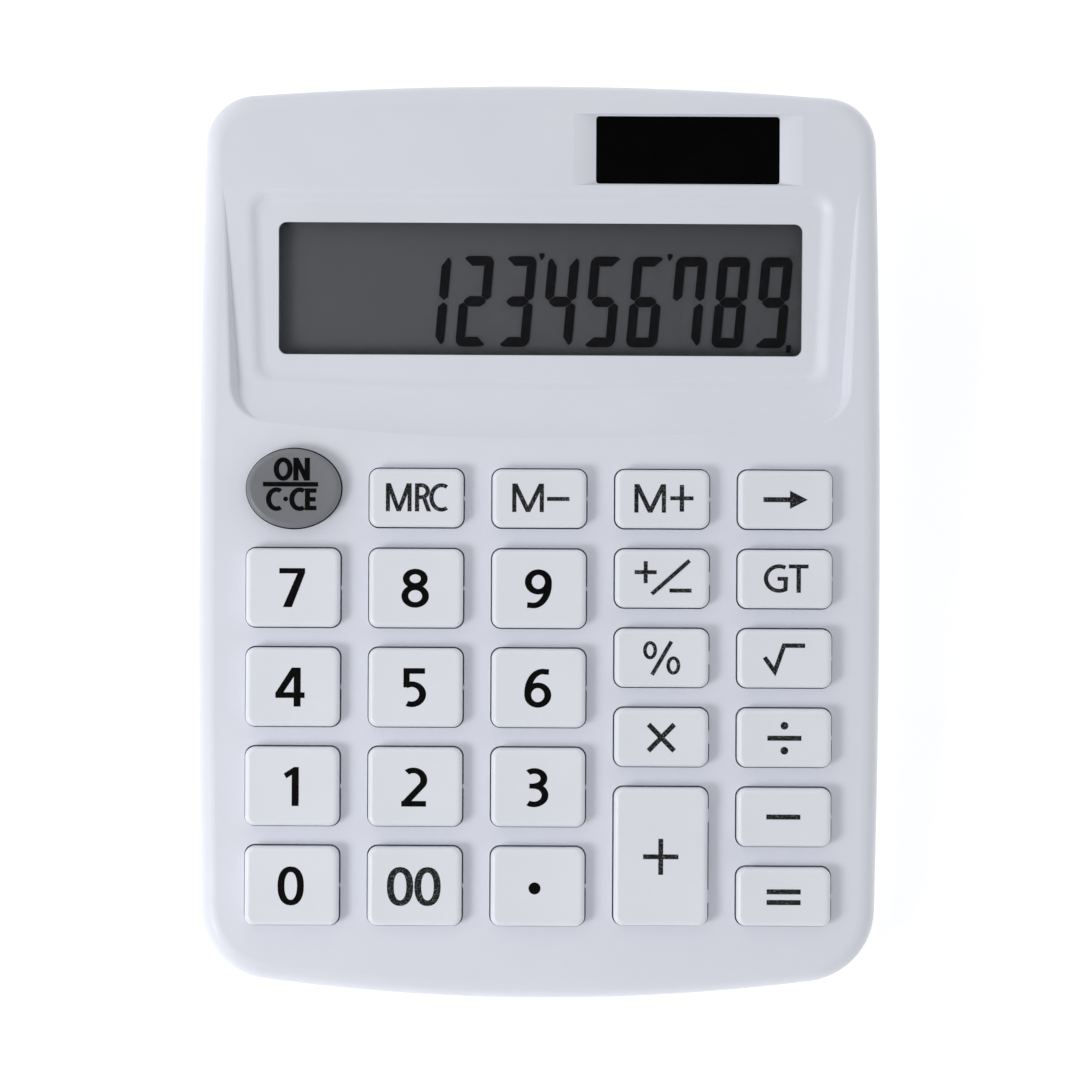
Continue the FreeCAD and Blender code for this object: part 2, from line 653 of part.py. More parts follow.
def cover_zone(fit):
    """The room that the battery cover slides in, open at the back of the base."""
    size = (COVER_WIDTH + 2 * fit, FAR)
    middle = (0, COVER_FRONT_Y - fit + FAR / 2)
    body = block(size, middle, FOOT_HEIGHT - 1, COVER_TOP + fit / 2)
    rail_size = (size[0] + 2 * TONGUE_RAIL[0], FAR)
    rail_middle = (0, COVER_FRONT_Y + RAIL_START - fit + FAR / 2)
    rail = block(rail_size, rail_middle, RAIL_LOW - fit, RAIL_LOW + TONGUE_RAIL[1] + fit)
    return body.fuse(rail)


def battery_cup():
    """The cup that holds the button cell over the cover."""
    return rod(CUP_RADIUS + CUP_WALL, 0, CELL_Y, COVER_TOP, CUP_TOP)


def battery_cup_hollow():
    """The room inside the cup, with a slot for each contact."""
    roof = CUP_TOP - CUP_WALL
    hollow = rod(CUP_RADIUS, 0, CELL_Y, 0, roof)
    slot_width = CONTACT_WIDTH + 0.6
    right = block((CUP_RADIUS, slot_width), (CUP_RADIUS, CELL_Y), roof - 1.2, roof)
    left = block((1.6, slot_width), (-CUP_RADIUS - 0.4, CELL_Y), CELL_LOW + 0.3, CUP_TOP + 1)
    return hollow.fuse(right).fuse(left)


def make_bottom_shell():
    """The base tray with its tongue, posts, battery bay, foot recesses and label recess."""
    outer = base_form(SHELL_REVEAL)
    sharp = [e for e in outer.Edges if e.BoundBox.ZMax < FOOT_HEIGHT + 0.01]
    outer = outer.makeFillet(BASE_EDGE_RADIUS, sharp)
    floor_top = FOOT_HEIGHT + FLOOR_THICKNESS
    inner = base_form(WALL + SHELL_FIT).common(slab(Placement(), floor_top, OUT_OF_CASE))
    below_parting = slab(PARTING, -OUT_OF_CASE, 0)
    tray = outer.cut(inner).common(below_parting)
    lip = case_prism(WALL - TONGUE + SHELL_FIT, TAPER_TOP, OUT_OF_CASE)
    lip = lip.cut(case_prism(WALL + SHELL_FIT, 0, OUT_OF_CASE + 1))
    lip = lip.common(slab(PARTING, -1.0, TONGUE_HEIGHT))
    additions = [lip]
    for x, y, joint_height in CASE_SCREWS:
        additions.append(rod(POST_RADIUS, x, y, FOOT_HEIGHT + POST_ROOT, joint_height))
    bay_size = (COVER_WIDTH + 2 * BAY_SIDE_WALL, BAY_LENGTH)
    bay_middle = (0, COVER_FRONT_Y - BAY_FRONT_WALL + bay_size[1] / 2)
    bay = block(bay_size, bay_middle, FOOT_HEIGHT + POST_ROOT, COVER_TOP + CUP_WALL)
    additions.append(bay.common(outer))
    additions.append(battery_cup())
    tray = tray.multiFuse(additions)
    removals = [cover_zone(COVER_FIT), battery_cup_hollow()]
    for x, y, joint_height in CASE_SCREWS:
        seat = joint_height - CASE_SCREW_SEAT
        removals.append(rod(COUNTERBORE_RADIUS, x, y, 0, seat))
        removals.append(rod(CASE_SCREW_RADIUS + CASE_SCREW_PASSAGE, x, y, 0, joint_height + 1))
    for x, y in FOOT_PLACES:
        removals.append(rod(FOOT_RADIUS + FOOT_FIT, x, y, 0, FOOT_HEIGHT + FOOT_SINK))
    label_low = FOOT_HEIGHT + LABEL_RECESS[2]
    removals.append(block(LABEL_RECESS[:2], (0, 0), 0, label_low, LABEL_CORNER))
    for tool in removals:
        tray = tray.cut(tool)
    return tray


def make_battery_cover():
    """The sliding cover, flush with the base, with rails, finger grooves and an arrow."""
    cover = cover_zone(0.0).common(base_form(SHELL_REVEAL))
    for step in range(GROOVE_COUNT):
        groove_middle = (0, COVER_FRONT_Y + GROOVE_START + step * GROOVE_PITCH)
        cover = cover.cut(block(GROOVE_SIZE, groove_middle, 0, FOOT_HEIGHT + GROOVE_DEPTH, GROOVE_CORNER))
    arrow_y = COVER_FRONT_Y + ARROW_START
    half = ARROW_SIZE[0] / 2
    arrow = [Vector(-half, arrow_y, 0), Vector(half, arrow_y, 0), Vector(0, arrow_y + ARROW_SIZE[1], 0)]
    prism = Part.Face(Part.makePolygon(arrow + arrow[:1])).extrude(Z_AXIS * (FOOT_HEIGHT + ARROW_DEPTH))
    return cover.cut(prism)


def make_feet():
    """Four rubber feet, stuck in shallow recesses."""
    feet = []
    for x, y in FOOT_PLACES:
        foot = rod(FOOT_RADIUS, x, y, 0, FOOT_HEIGHT + FOOT_SINK)
        feet.append(foot.makeFillet(FOOT_EDGE_RADIUS, [e for e in foot.Edges if e.BoundBox.ZMax < 0.01]))
    return Part.makeCompound(feet)


def screw(radius, length, head, seat):
    """A pan-head screw with a cross recess: its head hangs under the seat and its shank goes up."""
    shank = Part.makeCylinder(radius, length)
    cap = Part.makeCylinder(head[0], head[1], Vector(0, 0, -head[1]))
    cap = cap.makeFillet(SCREW_HEAD_RADIUS, [e for e in cap.Edges if e.BoundBox.ZMax < 0.01 - head[1]])
    slot_low = -head[1]
    slot_high = slot_low + head[1] * CROSS_DEPTH_SHARE
    cross = block((head[0], CROSS_WIDTH), (0, 0), slot_low, slot_high)
    cross = cross.fuse(block((CROSS_WIDTH, head[0]), (0, 0), slot_low, slot_high))
    made = shank.fuse(cap).cut(cross)
    return placed(made, Placement(seat, Rotation()))


def make_case_screws():
    """Four screws that come up through the base into the top shell's bosses."""
    screws = []
    for x, y, joint_height in CASE_SCREWS:
        seat = Vector(x, y, joint_height - CASE_SCREW_SEAT)
        screws.append(screw(CASE_SCREW_RADIUS, CASE_SCREW_LENGTH, CASE_SCREW_HEAD, seat))
    return Part.makeCompound(screws)


# ---------------------------------------------------------------- mat, board and display stack


def make_mat(keys):
    """The silicone mat with a hollow dome under every key."""
    mat = block(MAT_SIZE, (0, MAT_MIDDLE_V), MAT_BOTTOM, MAT_TOP, 2.0)
    domes, hollows = [], []
    for _, _, (x, y), _ in keys:
        foot = Vector(x, y, MAT_TOP)
        height = DOME_TOP - MAT_TOP
        domes.append(Part.makeCone(DOME_FOOT_RADIUS, DOME_HEAD_RADIUS, height, foot))
        under = Vector(x, y, MAT_BOTTOM)
        room = DOME_TOP - DOME_ROOF - MAT_BOTTOM
        inside_foot = DOME_FOOT_RADIUS - DOME_SKIN
        inside_head = DOME_HEAD_RADIUS - DOME_SKIN
        hollows.append(Part.makeCone(inside_foot, inside_head, room, under))
    for x, y in BOARD_BOSS_PLACES:
        hollows.append(rod(BOARD_BOSS_RADIUS + MAT_HOLE_FIT, x, y, MAT_BOTTOM - 1, MAT_TOP + 1))
    mat = mat.multiFuse(domes)
    return placed(mat.cut(Part.makeCompound(hollows)), DECK)


def make_pills(keys):
    """The conductive pill under each dome's roof."""
    roof = DOME_TOP - DOME_ROOF
    pills = [rod(PILL_RADIUS, x, y, roof - PILL_THICKNESS, roof) for _, _, (x, y), _ in keys]
    return placed(Part.makeCompound(pills), DECK)


def make_board():
    """The circuit board with its screw holes."""
    low = MAT_BOTTOM - BOARD_THICKNESS
    board = block(BOARD_SIZE, (0, BOARD_MIDDLE_V), low, MAT_BOTTOM, 2.0)
    for x, y in BOARD_BOSS_PLACES:
        board = board.cut(rod(BOARD_SCREW_RADIUS + BOARD_HOLE_FIT, x, y, low - 1, MAT_BOTTOM + 1))
    return placed(board, DECK)


def make_chip():
    """The blob of black resin over the calculator chip, under the board."""
    low = MAT_BOTTOM - BOARD_THICKNESS
    middle = Vector(CHIP_PLACE[0], CHIP_PLACE[1], low - CHIP_BULGE + CHIP_BALL_RADIUS)
    ball = Part.makeSphere(CHIP_BALL_RADIUS, middle)
    return placed(ball.common(slab(Placement(), -OUT_OF_CASE, low)), DECK)


def make_board_parts():
    """A capacitor can, and the small resistors and diodes beside it, under the board."""
    low = MAT_BOTTOM - BOARD_THICKNESS
    parts = [rod(CAPACITOR_RADIUS, CAPACITOR_PLACE[0], CAPACITOR_PLACE[1], low - CAPACITOR_HEIGHT, low)]
    for step in range(SMALL_PART_COUNT):
        x = SMALL_PART_X + step * SMALL_PART_PITCH
        for length, width, height, y in (RESISTOR, DIODE):
            parts.append(block((length, width), (x, y), low - height, low))
    return placed(Part.makeCompound(parts), DECK)


def make_board_screws():
    """Seven screws that hold the board and two that hold the solar retainer."""
    screws = []
    low = MAT_BOTTOM - BOARD_THICKNESS
    for x, y in BOARD_BOSS_PLACES:
        seat = Vector(x, y, low)
        screws.append(screw(BOARD_SCREW_RADIUS, BOARD_SCREW_LENGTH, BOARD_SCREW_HEAD, seat))
    for x, y in solar_boss_places():
        seat = Vector(x, y, solar_levels()[2])
        screws.append(screw(BOARD_SCREW_RADIUS, SOLAR_SCREW_LENGTH, BOARD_SCREW_HEAD, seat))
    return placed(Part.makeCompound(screws), DECK)


def display_levels():
    """Depths of the lens, the front glass, the back glass and the reflector: their lower faces."""
    lens_low = -PAN_THICKNESS - LENS_SIZE[2]
    front_low = lens_low - GLASS_THICKNESS
    back_low = front_low - GLASS_THICKNESS
    return lens_low, front_low, back_low, back_low - REFLECTOR_THICKNESS


def make_display_parts():
    """The clear lens, the two glasses, the reflector and the holder that clamps them."""
    lens_low, front_low, back_low, reflector_low = display_levels()
    top = -PAN_THICKNESS
    lens = block(LENS_SIZE[:2], (0, 0), lens_low, top, 0.6)
    front = block(GLASS_SIZE, (0, 0), front_low, lens_low)
    back_size = (GLASS_SIZE[0], GLASS_SIZE[1] - BACK_GLASS_SHORTER)
    back_middle = (0, BACK_GLASS_SHORTER / 2)
    back = block(back_size, back_middle, back_low, front_low)
    reflector = block(back_size, back_middle, reflector_low, back_low)
    pocket_size = [length + 2 * HOLDER_CLEARANCE for length in GLASS_SIZE]
    holder_low = top - HOLDER_SIZE[2]
    holder = block(HOLDER_SIZE[:2], (0, 0), holder_low, top, 1.0)
    holder = holder.cut(block(pocket_size, (0, 0), reflector_low, top))
    opening = [length - 2 * HOLDER_LEDGE for length in pocket_size]
    holder = holder.cut(block(opening, (0, 0), holder_low - 1, top, 1.0))
    ribbon_slot = (2 * RIBBON_HALF_WIDTH + 1, HOLDER_SIZE[1])
    slot_middle = (0, -HOLDER_SIZE[1] / 2)
    holder = holder.cut(block(ribbon_slot, slot_middle, holder_low - 1, front_low))
    return {
        "lcd_window": placed(lens, WINDOW),
        "lcd_front_glass": placed(front, WINDOW),
        "lcd_back_glass": placed(back, WINDOW),
        "lcd_reflector": placed(reflector, WINDOW),
        "lcd_holder": placed(holder, WINDOW),
    }


def make_ribbon():
    """The flat film that joins the front glass's ledge to the back edge of the board."""
    front_low = display_levels()[1] - RIBBON_FIT
    to_face = DECK.inverse() * WINDOW
    glass_front = -GLASS_SIZE[1] / 2
    ledge_outer = to_face.multVec(Vector(0, glass_front + BACK_GLASS_SHORTER - RIBBON_EDGE, front_low))
    ledge_inner = to_face.multVec(Vector(0, glass_front - RIBBON_OVERHANG, front_low))
    board_back = BOARD_MIDDLE_V + BOARD_SIZE[1] / 2
    points = [
        (ledge_outer.y, ledge_outer.z - RIBBON_THICKNESS),
        (ledge_inner.y, ledge_inner.z - RIBBON_THICKNESS),
        (board_back + RIBBON_BEND[0], MAT_BOTTOM + RIBBON_BEND[1]),
        (board_back - RIBBON_TAIL[0], MAT_BOTTOM),
        (board_back - RIBBON_TAIL[1], MAT_BOTTOM),
    ]
    path = [(-y, z) for y, z in points]
    strip = bent_strip(path, 2 * RIBBON_HALF_WIDTH, RIBBON_THICKNESS)
    turned = placed(strip, Placement(Vector(), Rotation(Z_AXIS, -90)))
    return placed(turned, DECK)


# ---------------------------------------------------------------- power


def make_button_cell():
    """The button cell: a steel can with a smaller raised cap."""
    can = rod(CELL_RADIUS, 0, CELL_Y, CELL_LOW, CELL_LOW + CELL_THICKNESS - CELL_CAP_HEIGHT)
    cap = rod(CELL_RADIUS - CELL_CAP_INSET, 0, CELL_Y, CELL_LOW, CELL_LOW + CELL_THICKNESS)
    return can.fuse(cap)


def make_contacts():
    """The spring leaf over the cell's cap, and the leaf against its side."""
    over = CELL_LOW + CELL_THICKNESS
    tab_top = CUP_TOP + CONTACT_TAB_HEIGHT
    reach = CUP_RADIUS + CUP_WALL + 0.6
    leaf = [(-2.0, over), (reach, over + 0.3), (reach + 0.2, tab_top)]
    negative = bent_strip(leaf, CONTACT_WIDTH, CONTACT_THICKNESS)
    side = CELL_RADIUS + 0.08
    stand = [(-side, CELL_LOW + 0.5), (-side, tab_top), (-side - 2.5, tab_top)]
    positive = bent_strip(stand, CONTACT_WIDTH, CONTACT_THICKNESS)
    shift = Placement(Vector(0, CELL_Y, 0), Rotation())
    return {
        "battery_contact_negative": placed(negative, shift),
        "battery_contact_positive": placed(positive, shift),
    }


def make_battery_wires():
    """Two wires from the battery contacts to the underside of the board."""
    tab_top = CUP_TOP + CONTACT_TAB_HEIGHT
    board_under = MAT_BOTTOM - BOARD_THICKNESS - WIRE_RADIUS - 0.05
    wires = []
    for side, start_x in ((1, CUP_RADIUS + CUP_WALL + 1.5), (-1, -CUP_RADIUS - 1.4)):
        end = DECK.multVec(Vector(side * 3.0, 12.0, board_under))
        start = Vector(start_x, CELL_Y - 1.0, tab_top + WIRE_RADIUS + 0.35)
        middle = Vector(side * 6.0, 34.0, tab_top + 1.2)
        near = Vector(side * 3.0, 20.0, end.z - 0.2)
        wires.append(wire_run([start, middle, near, end], WIRE_RADIUS))
    return Part.makeCompound(wires)


def make_solar_wires():
    """Two wires from the solar cell, under the display holder, to the back edge of the board."""
    cell_under = solar_levels()[1] - WIRE_RADIUS - 0.02
    retainer_under = solar_levels()[2] - 1.2
    holder_under = -9.4
    board_under = MAT_BOTTOM - BOARD_THICKNESS - WIRE_RADIUS - 0.05
    front_edge = SOLAR_MIDDLE[1] - 4.9
    back_edge = SOLAR_MIDDLE[1] + 4.8
    short = [
        Vector(30.0, front_edge, cell_under),
        Vector(30.0, front_edge - 3.0, holder_under),
        Vector(30.0, 20.0, holder_under - 0.3),
        Vector(30.0, 14.0, board_under),
    ]
    long = [
        Vector(25.0, back_edge, cell_under),
        Vector(25.0, back_edge, retainer_under),
        Vector(27.0, front_edge - 1.0, holder_under),
        Vector(27.0, 20.0, holder_under - 0.3),
        Vector(27.0, 14.0, board_under),
    ]
    return placed(Part.makeCompound([wire_run(points, WIRE_RADIUS) for points in (short, long)]), DECK)


# ---------------------------------------------------------------- build


def build():
    """Every node of the calculator, by name."""
    keys = key_list()
    nodes = {
        "top_shell": make_top_shell(keys),
        "bottom_shell": make_bottom_shell(),
        "battery_cover": make_battery_cover(),
        "feet": make_feet(),
        "case_screws": make_case_screws(),
        "rubber_keypad": make_mat(keys),
        "contact_pills": make_pills(keys),
        "main_board": make_board(),
        "chip_blob": make_chip(),
        "board_parts": make_board_parts(),
        "board_screws": make_board_screws(),
        "lcd_ribbon": make_ribbon(),
        "button_cell": make_button_cell(),
        "battery_wires": make_battery_wires(),
        "solar_wires": make_solar_wires(),
    }
    nodes.update(make_solar_parts())
    nodes.update(make_display_parts())
    nodes.update(make_contacts())
    for name, kind, place, size in keys:
        nodes[name] = make_key(kind, place, size)
    return nodes


os.makedirs("parts", exist_ok=True)
for node_name, node_shape in build().items():
    closed = all(solid.isValid() and solid.isClosed() for solid in node_shape.Solids)
    print(node_name, len(node_shape.Solids), round(node_shape.Volume, 1), "ok" if closed else "OPEN")
    node_shape.exportStep("parts/" + node_name + ".step")
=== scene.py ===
"""The desk calculator's looks: moulded surfaces, printed legends, the display's segments, light and camera.

Blender works in metres. Lengths here are in millimetres, and are multiplied by MM where they are used.
"""

import json
import math

import bpy
from mathutils import Matrix, Vector
from mathutils.bvhtree import BVHTree
from mathutils.geometry import delaunay_2d_cdt


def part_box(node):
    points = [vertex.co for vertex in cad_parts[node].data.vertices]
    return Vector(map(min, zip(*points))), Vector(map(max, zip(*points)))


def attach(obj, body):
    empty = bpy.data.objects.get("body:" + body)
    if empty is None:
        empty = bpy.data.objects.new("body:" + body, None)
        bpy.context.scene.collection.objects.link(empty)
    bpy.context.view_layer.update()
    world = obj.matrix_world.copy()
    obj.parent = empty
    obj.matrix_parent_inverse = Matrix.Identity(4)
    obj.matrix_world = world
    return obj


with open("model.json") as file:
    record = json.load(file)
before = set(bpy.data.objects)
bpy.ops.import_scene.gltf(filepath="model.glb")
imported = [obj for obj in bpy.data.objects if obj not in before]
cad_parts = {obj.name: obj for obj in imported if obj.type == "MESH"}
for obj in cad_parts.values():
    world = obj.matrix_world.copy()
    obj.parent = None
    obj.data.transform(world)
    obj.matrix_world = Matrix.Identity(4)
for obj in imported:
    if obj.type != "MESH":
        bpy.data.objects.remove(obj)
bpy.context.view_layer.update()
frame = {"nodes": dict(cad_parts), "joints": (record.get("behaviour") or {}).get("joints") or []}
NODES = frame["nodes"]
MM = 0.001

# ---------------------------------------------------------------- places taken from the frame

KEY_PROUD = 2.5  # how far the key tops stand out of the deck


def axes_of(normal):
    """Axes across, up the slope and outwards, as columns, for a face that slopes only front to back."""
    across = Vector((1, 0, 0))
    return Matrix((across, normal.cross(across), normal)).transposed()


def extent(node, axes):
    """Lowest and highest corner of a node, measured along these axes."""
    turned = axes.transposed()
    places = [turned @ v.co for v in NODES[node].data.vertices]
    return Vector(map(min, zip(*places))), Vector(map(max, zip(*places)))


def face_frame(node, axes):
    """A frame with its origin in the middle of a node's outermost face."""
    low, high = extent(node, axes)
    middle = (low + high) / 2
    origin = axes @ Vector((middle.x, middle.y, high.z))
    return Matrix.Translation(origin) @ axes.to_4x4()


def plate_normal(node):
    """The way a flat plate's outer face looks."""
    faces = NODES[node].data.polygons
    return max((f for f in faces if f.normal.z > 0), key=lambda f: f.area).normal.copy()


def deck_frame():
    """The deck's frame: its axes follow the keys' travel, and its origin is in the middle of the case."""
    press = next(j for j in frame["joints"] if j["name"] == "press_5")
    normal = -Vector(press["axis"]).normalized()
    axes = axes_of(normal)
    height = extent("key_5", axes)[1].z - KEY_PROUD * MM
    return axes, Matrix.Translation((0, 0, height / normal.z)) @ axes.to_4x4()


DECK_AXES, DECK = deck_frame()

# ---------------------------------------------------------------- flat outlines


def arc(centre, radii, start, end, power=2.0, steps=28):
    """Points along an ellipse between two angles in degrees; a higher power makes it squarer."""
    points = []
    for i in range(steps + 1):
        angle = math.radians(start + (end - start) * i / steps)
        c, s = math.cos(angle), math.sin(angle)
        x = centre[0] + radii[0] * math.copysign(abs(c) ** (2 / power), c)
        y = centre[1] + radii[1] * math.copysign(abs(s) ** (2 / power), s)
        points.append((x, y))
    return points


def stroke(points, pen, closed=False):
    """Four-sided pieces along a line drawn with an oval pen of this half width and half height."""
    line = [Vector((x / pen[0], y / pen[1])) for x, y in points]
    last = len(line) - 1
    sides = []
    for i, here in enumerate(line):
        steps = []
        if closed or i > 0:
            steps.append(here - line[i - 1])
        if closed or i < last:
            steps.append(line[(i + 1) % len(line)] - here)
        normals = [step.orthogonal().normalized() for step in steps]
        mitre = sum(normals, Vector((0, 0))) / (1 + normals[0].dot(normals[-1]))
        if len(normals) == 1:
            mitre = normals[0]
        sides.append([(p.x * pen[0], p.y * pen[1]) for p in (here + mitre, here - mitre)])
    count = len(line) if closed else last
    pairs = [(sides[i], sides[(i + 1) % len(line)]) for i in range(count)]
    return [[a[0], a[1], b[1], b[0]] for a, b in pairs]


def ring(centre, radii, pen, power=2.0):
    """A closed oval loop."""
    return stroke(arc(centre, radii, 0, 360, power)[:-1], pen, closed=True)


def disc(centre, radius):
    """A filled dot."""
    return [arc(centre, (radius, radius), 0, 360)[:-1]]


def bar(left, bottom, right, top):
    """A filled rectangle."""
    return [[(left, bottom), (right, bottom), (right, top), (left, top)]]


def moved(polygons, scale=1.0, shift=(0.0, 0.0)):
    """The outlines, scaled and then shifted."""
    return [[(x * scale + shift[0], y * scale + shift[1]) for x, y in polygon] for polygon in polygons]


def centred(polygons, height, centre):
    """The outlines scaled to a height and put around a centre."""
    xs = [x for polygon in polygons for x, _ in polygon]
    ys = [y for polygon in polygons for _, y in polygon]
    scale = height / (max(ys) - min(ys))
    middle = ((max(xs) + min(xs)) / 2, (max(ys) + min(ys)) / 2)
    return moved(polygons, scale, (centre[0] - middle[0] * scale, centre[1] - middle[1] * scale))


def signed_area(polygon):
    """Positive for an outline that runs anticlockwise."""
    after = polygon[1:] + polygon[:1]
    return sum(a[0] * b[1] - b[0] * a[1] for a, b in zip(polygon, after)) / 2


def merged(polygons):
    """Points and triangles that cover everything inside any of the outlines."""
    points = []
    faces = []
    for polygon in polygons:
        turned = polygon if signed_area(polygon) > 0 else polygon[::-1]
        faces.append(list(range(len(points), len(points) + len(turned))))
        points.extend(Vector(p) for p in turned)
    inside = 1
    tolerance = 1e-5
    found = delaunay_2d_cdt(points, [], faces, inside, tolerance)
    triangles = [t for t, sources in zip(found[2], found[5]) if sources]
    return found[0], triangles


def thin_piece(name, polygons, place):
    """A closed thin solid. place turns a flat point into its point above and its point below."""
    points, triangles = merged(polygons)
    placed = [place(p) for p in points]
    count = len(points)
    vertices = [above for above, _ in placed] + [below for _, below in placed]
    faces = [tuple(t) for t in triangles]
    faces += [tuple(i + count for i in reversed(t)) for t in triangles]
    edges = {(t[i], t[(i + 1) % 3]) for t in triangles for i in range(3)}
    rim = sorted(edge for edge in edges if edge[::-1] not in edges)
    faces += [(a, a + count, b + count, b) for a, b in rim]
    mesh = bpy.data.meshes.new(name)
    mesh.from_pydata(vertices, [], faces)
    mesh.validate()
    piece = bpy.data.objects.new(name, mesh)
    bpy.context.scene.collection.objects.link(piece)
    return piece


# ---------------------------------------------------------------- characters, 100 units high

DIGIT_PEN = (8.9, 7.2)
LETTER_PEN = (7.6, 6.9)
BOLD_PEN = (11.6, 10.0)


def digit_0(pen):
    return ring((33, 50), (25.5, 43.7), pen, power=2.3)


def digit_1(pen):
    foot = 2 * pen[0]
    return [[(20.5, 0), (20.5 + foot, 0), (20.5 + foot, 100), (26, 100), (0, 83), (6.5, 71), (20.5, 80)]]


def digit_2(pen):
    bowl = arc((31, 68.5), (27.0, 25.1), 128, -28)
    return stroke(bowl + [(9, 8)], pen) + bar(0, 0, 64, 2 * pen[1])


def digit_3(pen):
    upper = arc((29, 74.0), (25.0, 19.6), 130, -90)
    lower = arc((28, 30.2), (29.0, 24.0), 90, -122)
    return stroke(upper, pen) + stroke(lower, pen) + bar(16, 47.5, 30, 60.5)


def digit_4(pen):
    stem = 2 * pen[0]
    flag = [(0, 23), (12, 23), (48.5, 79), (48.5, 100), (42, 100), (0, 34.5)]
    return bar(47.0, 0, 47.0 + stem, 100) + bar(0, 22.2, 75, 22.2 + 2 * pen[1]) + [flag]


def digit_5(pen):
    bowl = arc((26, 32.5), (28.5, 26.0), 122, -115)
    return bar(4.7, 100 - 2 * pen[1], 60.4, 100) + bar(4.7, 50, 4.7 + 1.8 * pen[0], 100) + stroke(bowl, pen)


def digit_6(pen):
    return [[(70 - x, 100 - y) for x, y in polygon] for polygon in digit_9(pen)]


def digit_7(pen):
    stem = 2.55 * pen[0]
    return [[(9.5, 0), (9.5 + stem, 0), (66, 88), (66, 100), (0, 100), (0, 86.5), (46.5, 86.5)]]


def digit_8(pen):
    return ring((35, 75.0), (23.5, 18.6), pen) + ring((35, 29.4), (27.0, 23.0), pen)


def digit_9(pen):
    tail = arc((22, 62.0), (39.0, 55.6), 0, -100)
    side = [(61, 68)]
    return ring((34.8, 68.0), (26.2, 25.6), pen) + stroke(side + tail + [(6, 7.5)], pen)


def letter_c(pen):
    return stroke(arc((43, 50), (36.0, 43.6), 58, 302), pen)


def letter_e(pen):
    middle = 50
    bars = bar(0, 0, 53, 2 * pen[1]) + bar(0, 100 - 2 * pen[1], 53, 100)
    return bars + bar(0, 0, 2 * pen[0], 100) + bar(0, middle - pen[1], 49, middle + pen[1])


def letter_g(pen):
    bowl = arc((54, 50), (47.0, 43.6), 62, 298)
    return stroke(bowl + [(77.5, 49), (48, 49)], pen)


def letter_m(pen, width):
    stem = 1.9 * pen[0]
    middle = width / 2
    valley = [(0, 100), (stem * 1.2, 100), (middle, 21), (width - stem * 1.2, 100), (width, 100)]
    point = [(middle + stem * 0.52, 0), (middle - stem * 0.52, 0)]
    return bar(0, 0, stem, 100) + bar(width - stem, 0, width, 100) + [valley + point]


def letter_n(pen):
    stem = 2 * pen[0]
    slope = [(0, 100), (23, 100), (73, 0), (48, 0)]
    return bar(0, 0, stem, 100) + bar(73 - stem, 0, 73, 100) + [slope]


def letter_o(pen):
    return ring((40, 50), (30.2, 41.2), pen)


def letter_r(pen):
    stem = 2 * pen[0]
    start = [(pen[0], 100 - pen[1]), (22, 100 - pen[1])]
    bowl = start + arc((22, 72), (23.5, 21.6), 90, -90) + [(pen[0], 50.4)]
    leg = [(24, 50), (39, 50), (58, 0), (42.5, 0)]
    return bar(0, 0, stem, 100) + stroke(bowl, pen) + [leg]


def letter_t(pen):
    return bar(0, 100 - 2 * pen[1], 70, 100) + bar(35 - pen[0], 0, 35 + pen[0], 100)


def in_line(*parts):
    """Characters side by side: each is its outlines and where its left side starts."""
    return [polygon for polygons, left in parts for polygon in moved(polygons, 1.0, (left, 0))]


# ---------------------------------------------------------------- legends, in millimetres from a key's middle

DIGIT_HEIGHT = 5.85
DIGIT_SHIFT = -0.1  # the figures sit a little left of the keys' middles
FOUR_SHIFT = -0.25  # the 4, with its broad left side, sits further left
DIGIT_ADVANCE = 71.8  # from one figure to the next, in characters' units
LETTER_HEIGHT = 4.27
SIGN_PEN = (0.37, 0.37)
FINE_PEN = (0.3, 0.3)
SIGN_REACH = 2.55  # half the length of the minus, the equals sign and the division bar

DIGITS = {
    "0": digit_0, "1": digit_1, "2": digit_2, "3": digit_3, "4": digit_4,
    "5": digit_5, "6": digit_6, "7": digit_7, "8": digit_8, "9": digit_9,
}


def figure(*characters):
    """One figure, or several side by side."""
    parts = [(DIGITS[c](DIGIT_PEN), i * DIGIT_ADVANCE) for i, c in enumerate(characters)]
    shift = DIGIT_SHIFT + (FOUR_SHIFT if characters == ("4",) else 0)
    return centred(in_line(*parts), DIGIT_HEIGHT, (shift, 0))


def plus(centre, across, up, pen=SIGN_PEN):
    """A plus sign of these half lengths."""
    x, y = centre
    level = bar(x - across, y - pen[1], x + across, y + pen[1])
    return level + bar(x - pen[0], y - up, x + pen[0], y + up)


def minus(centre, reach, pen=SIGN_PEN):
    """A level bar of this half length."""
    x, y = centre
    return bar(x - reach, y - pen[1], x + reach, y + pen[1])


def legend_on_clear():
    word_height = 3.52
    on = in_line((letter_o(BOLD_PEN), 0), (letter_n(BOLD_PEN), 84))
    first_c = letter_c(BOLD_PEN)
    second_c = letter_c(BOLD_PEN)
    letters = in_line((first_c, 0), (disc((0, 51), 11), 85), (second_c, 106), (letter_e(BOLD_PEN), 173))
    line = minus((-0.41, 0.61), 4.14, pen=(0.34, 0.34))
    return centred(on, word_height, (-0.24, 2.88)) + line + centred(letters, word_height, (-0.3, -1.63))


def legend_mrc():
    m = letter_m(LETTER_PEN, 91.5)
    parts = in_line((m, 0), (letter_r(LETTER_PEN), 103.4), (letter_c(LETTER_PEN), 155))
    return centred(parts, LETTER_HEIGHT, (0.1, 0.1))


def memory_legend(sign):
    """A broad M with a sign after it."""
    return centred(letter_m(LETTER_PEN, 111) + sign, LETTER_HEIGHT, (0.22, 0.1))


def legend_m_minus():
    return memory_legend(minus((161.5, 46.5), 39.5, LETTER_PEN))


def legend_m_plus():
    return memory_legend(plus((167, 51), 40.8, 47, LETTER_PEN))


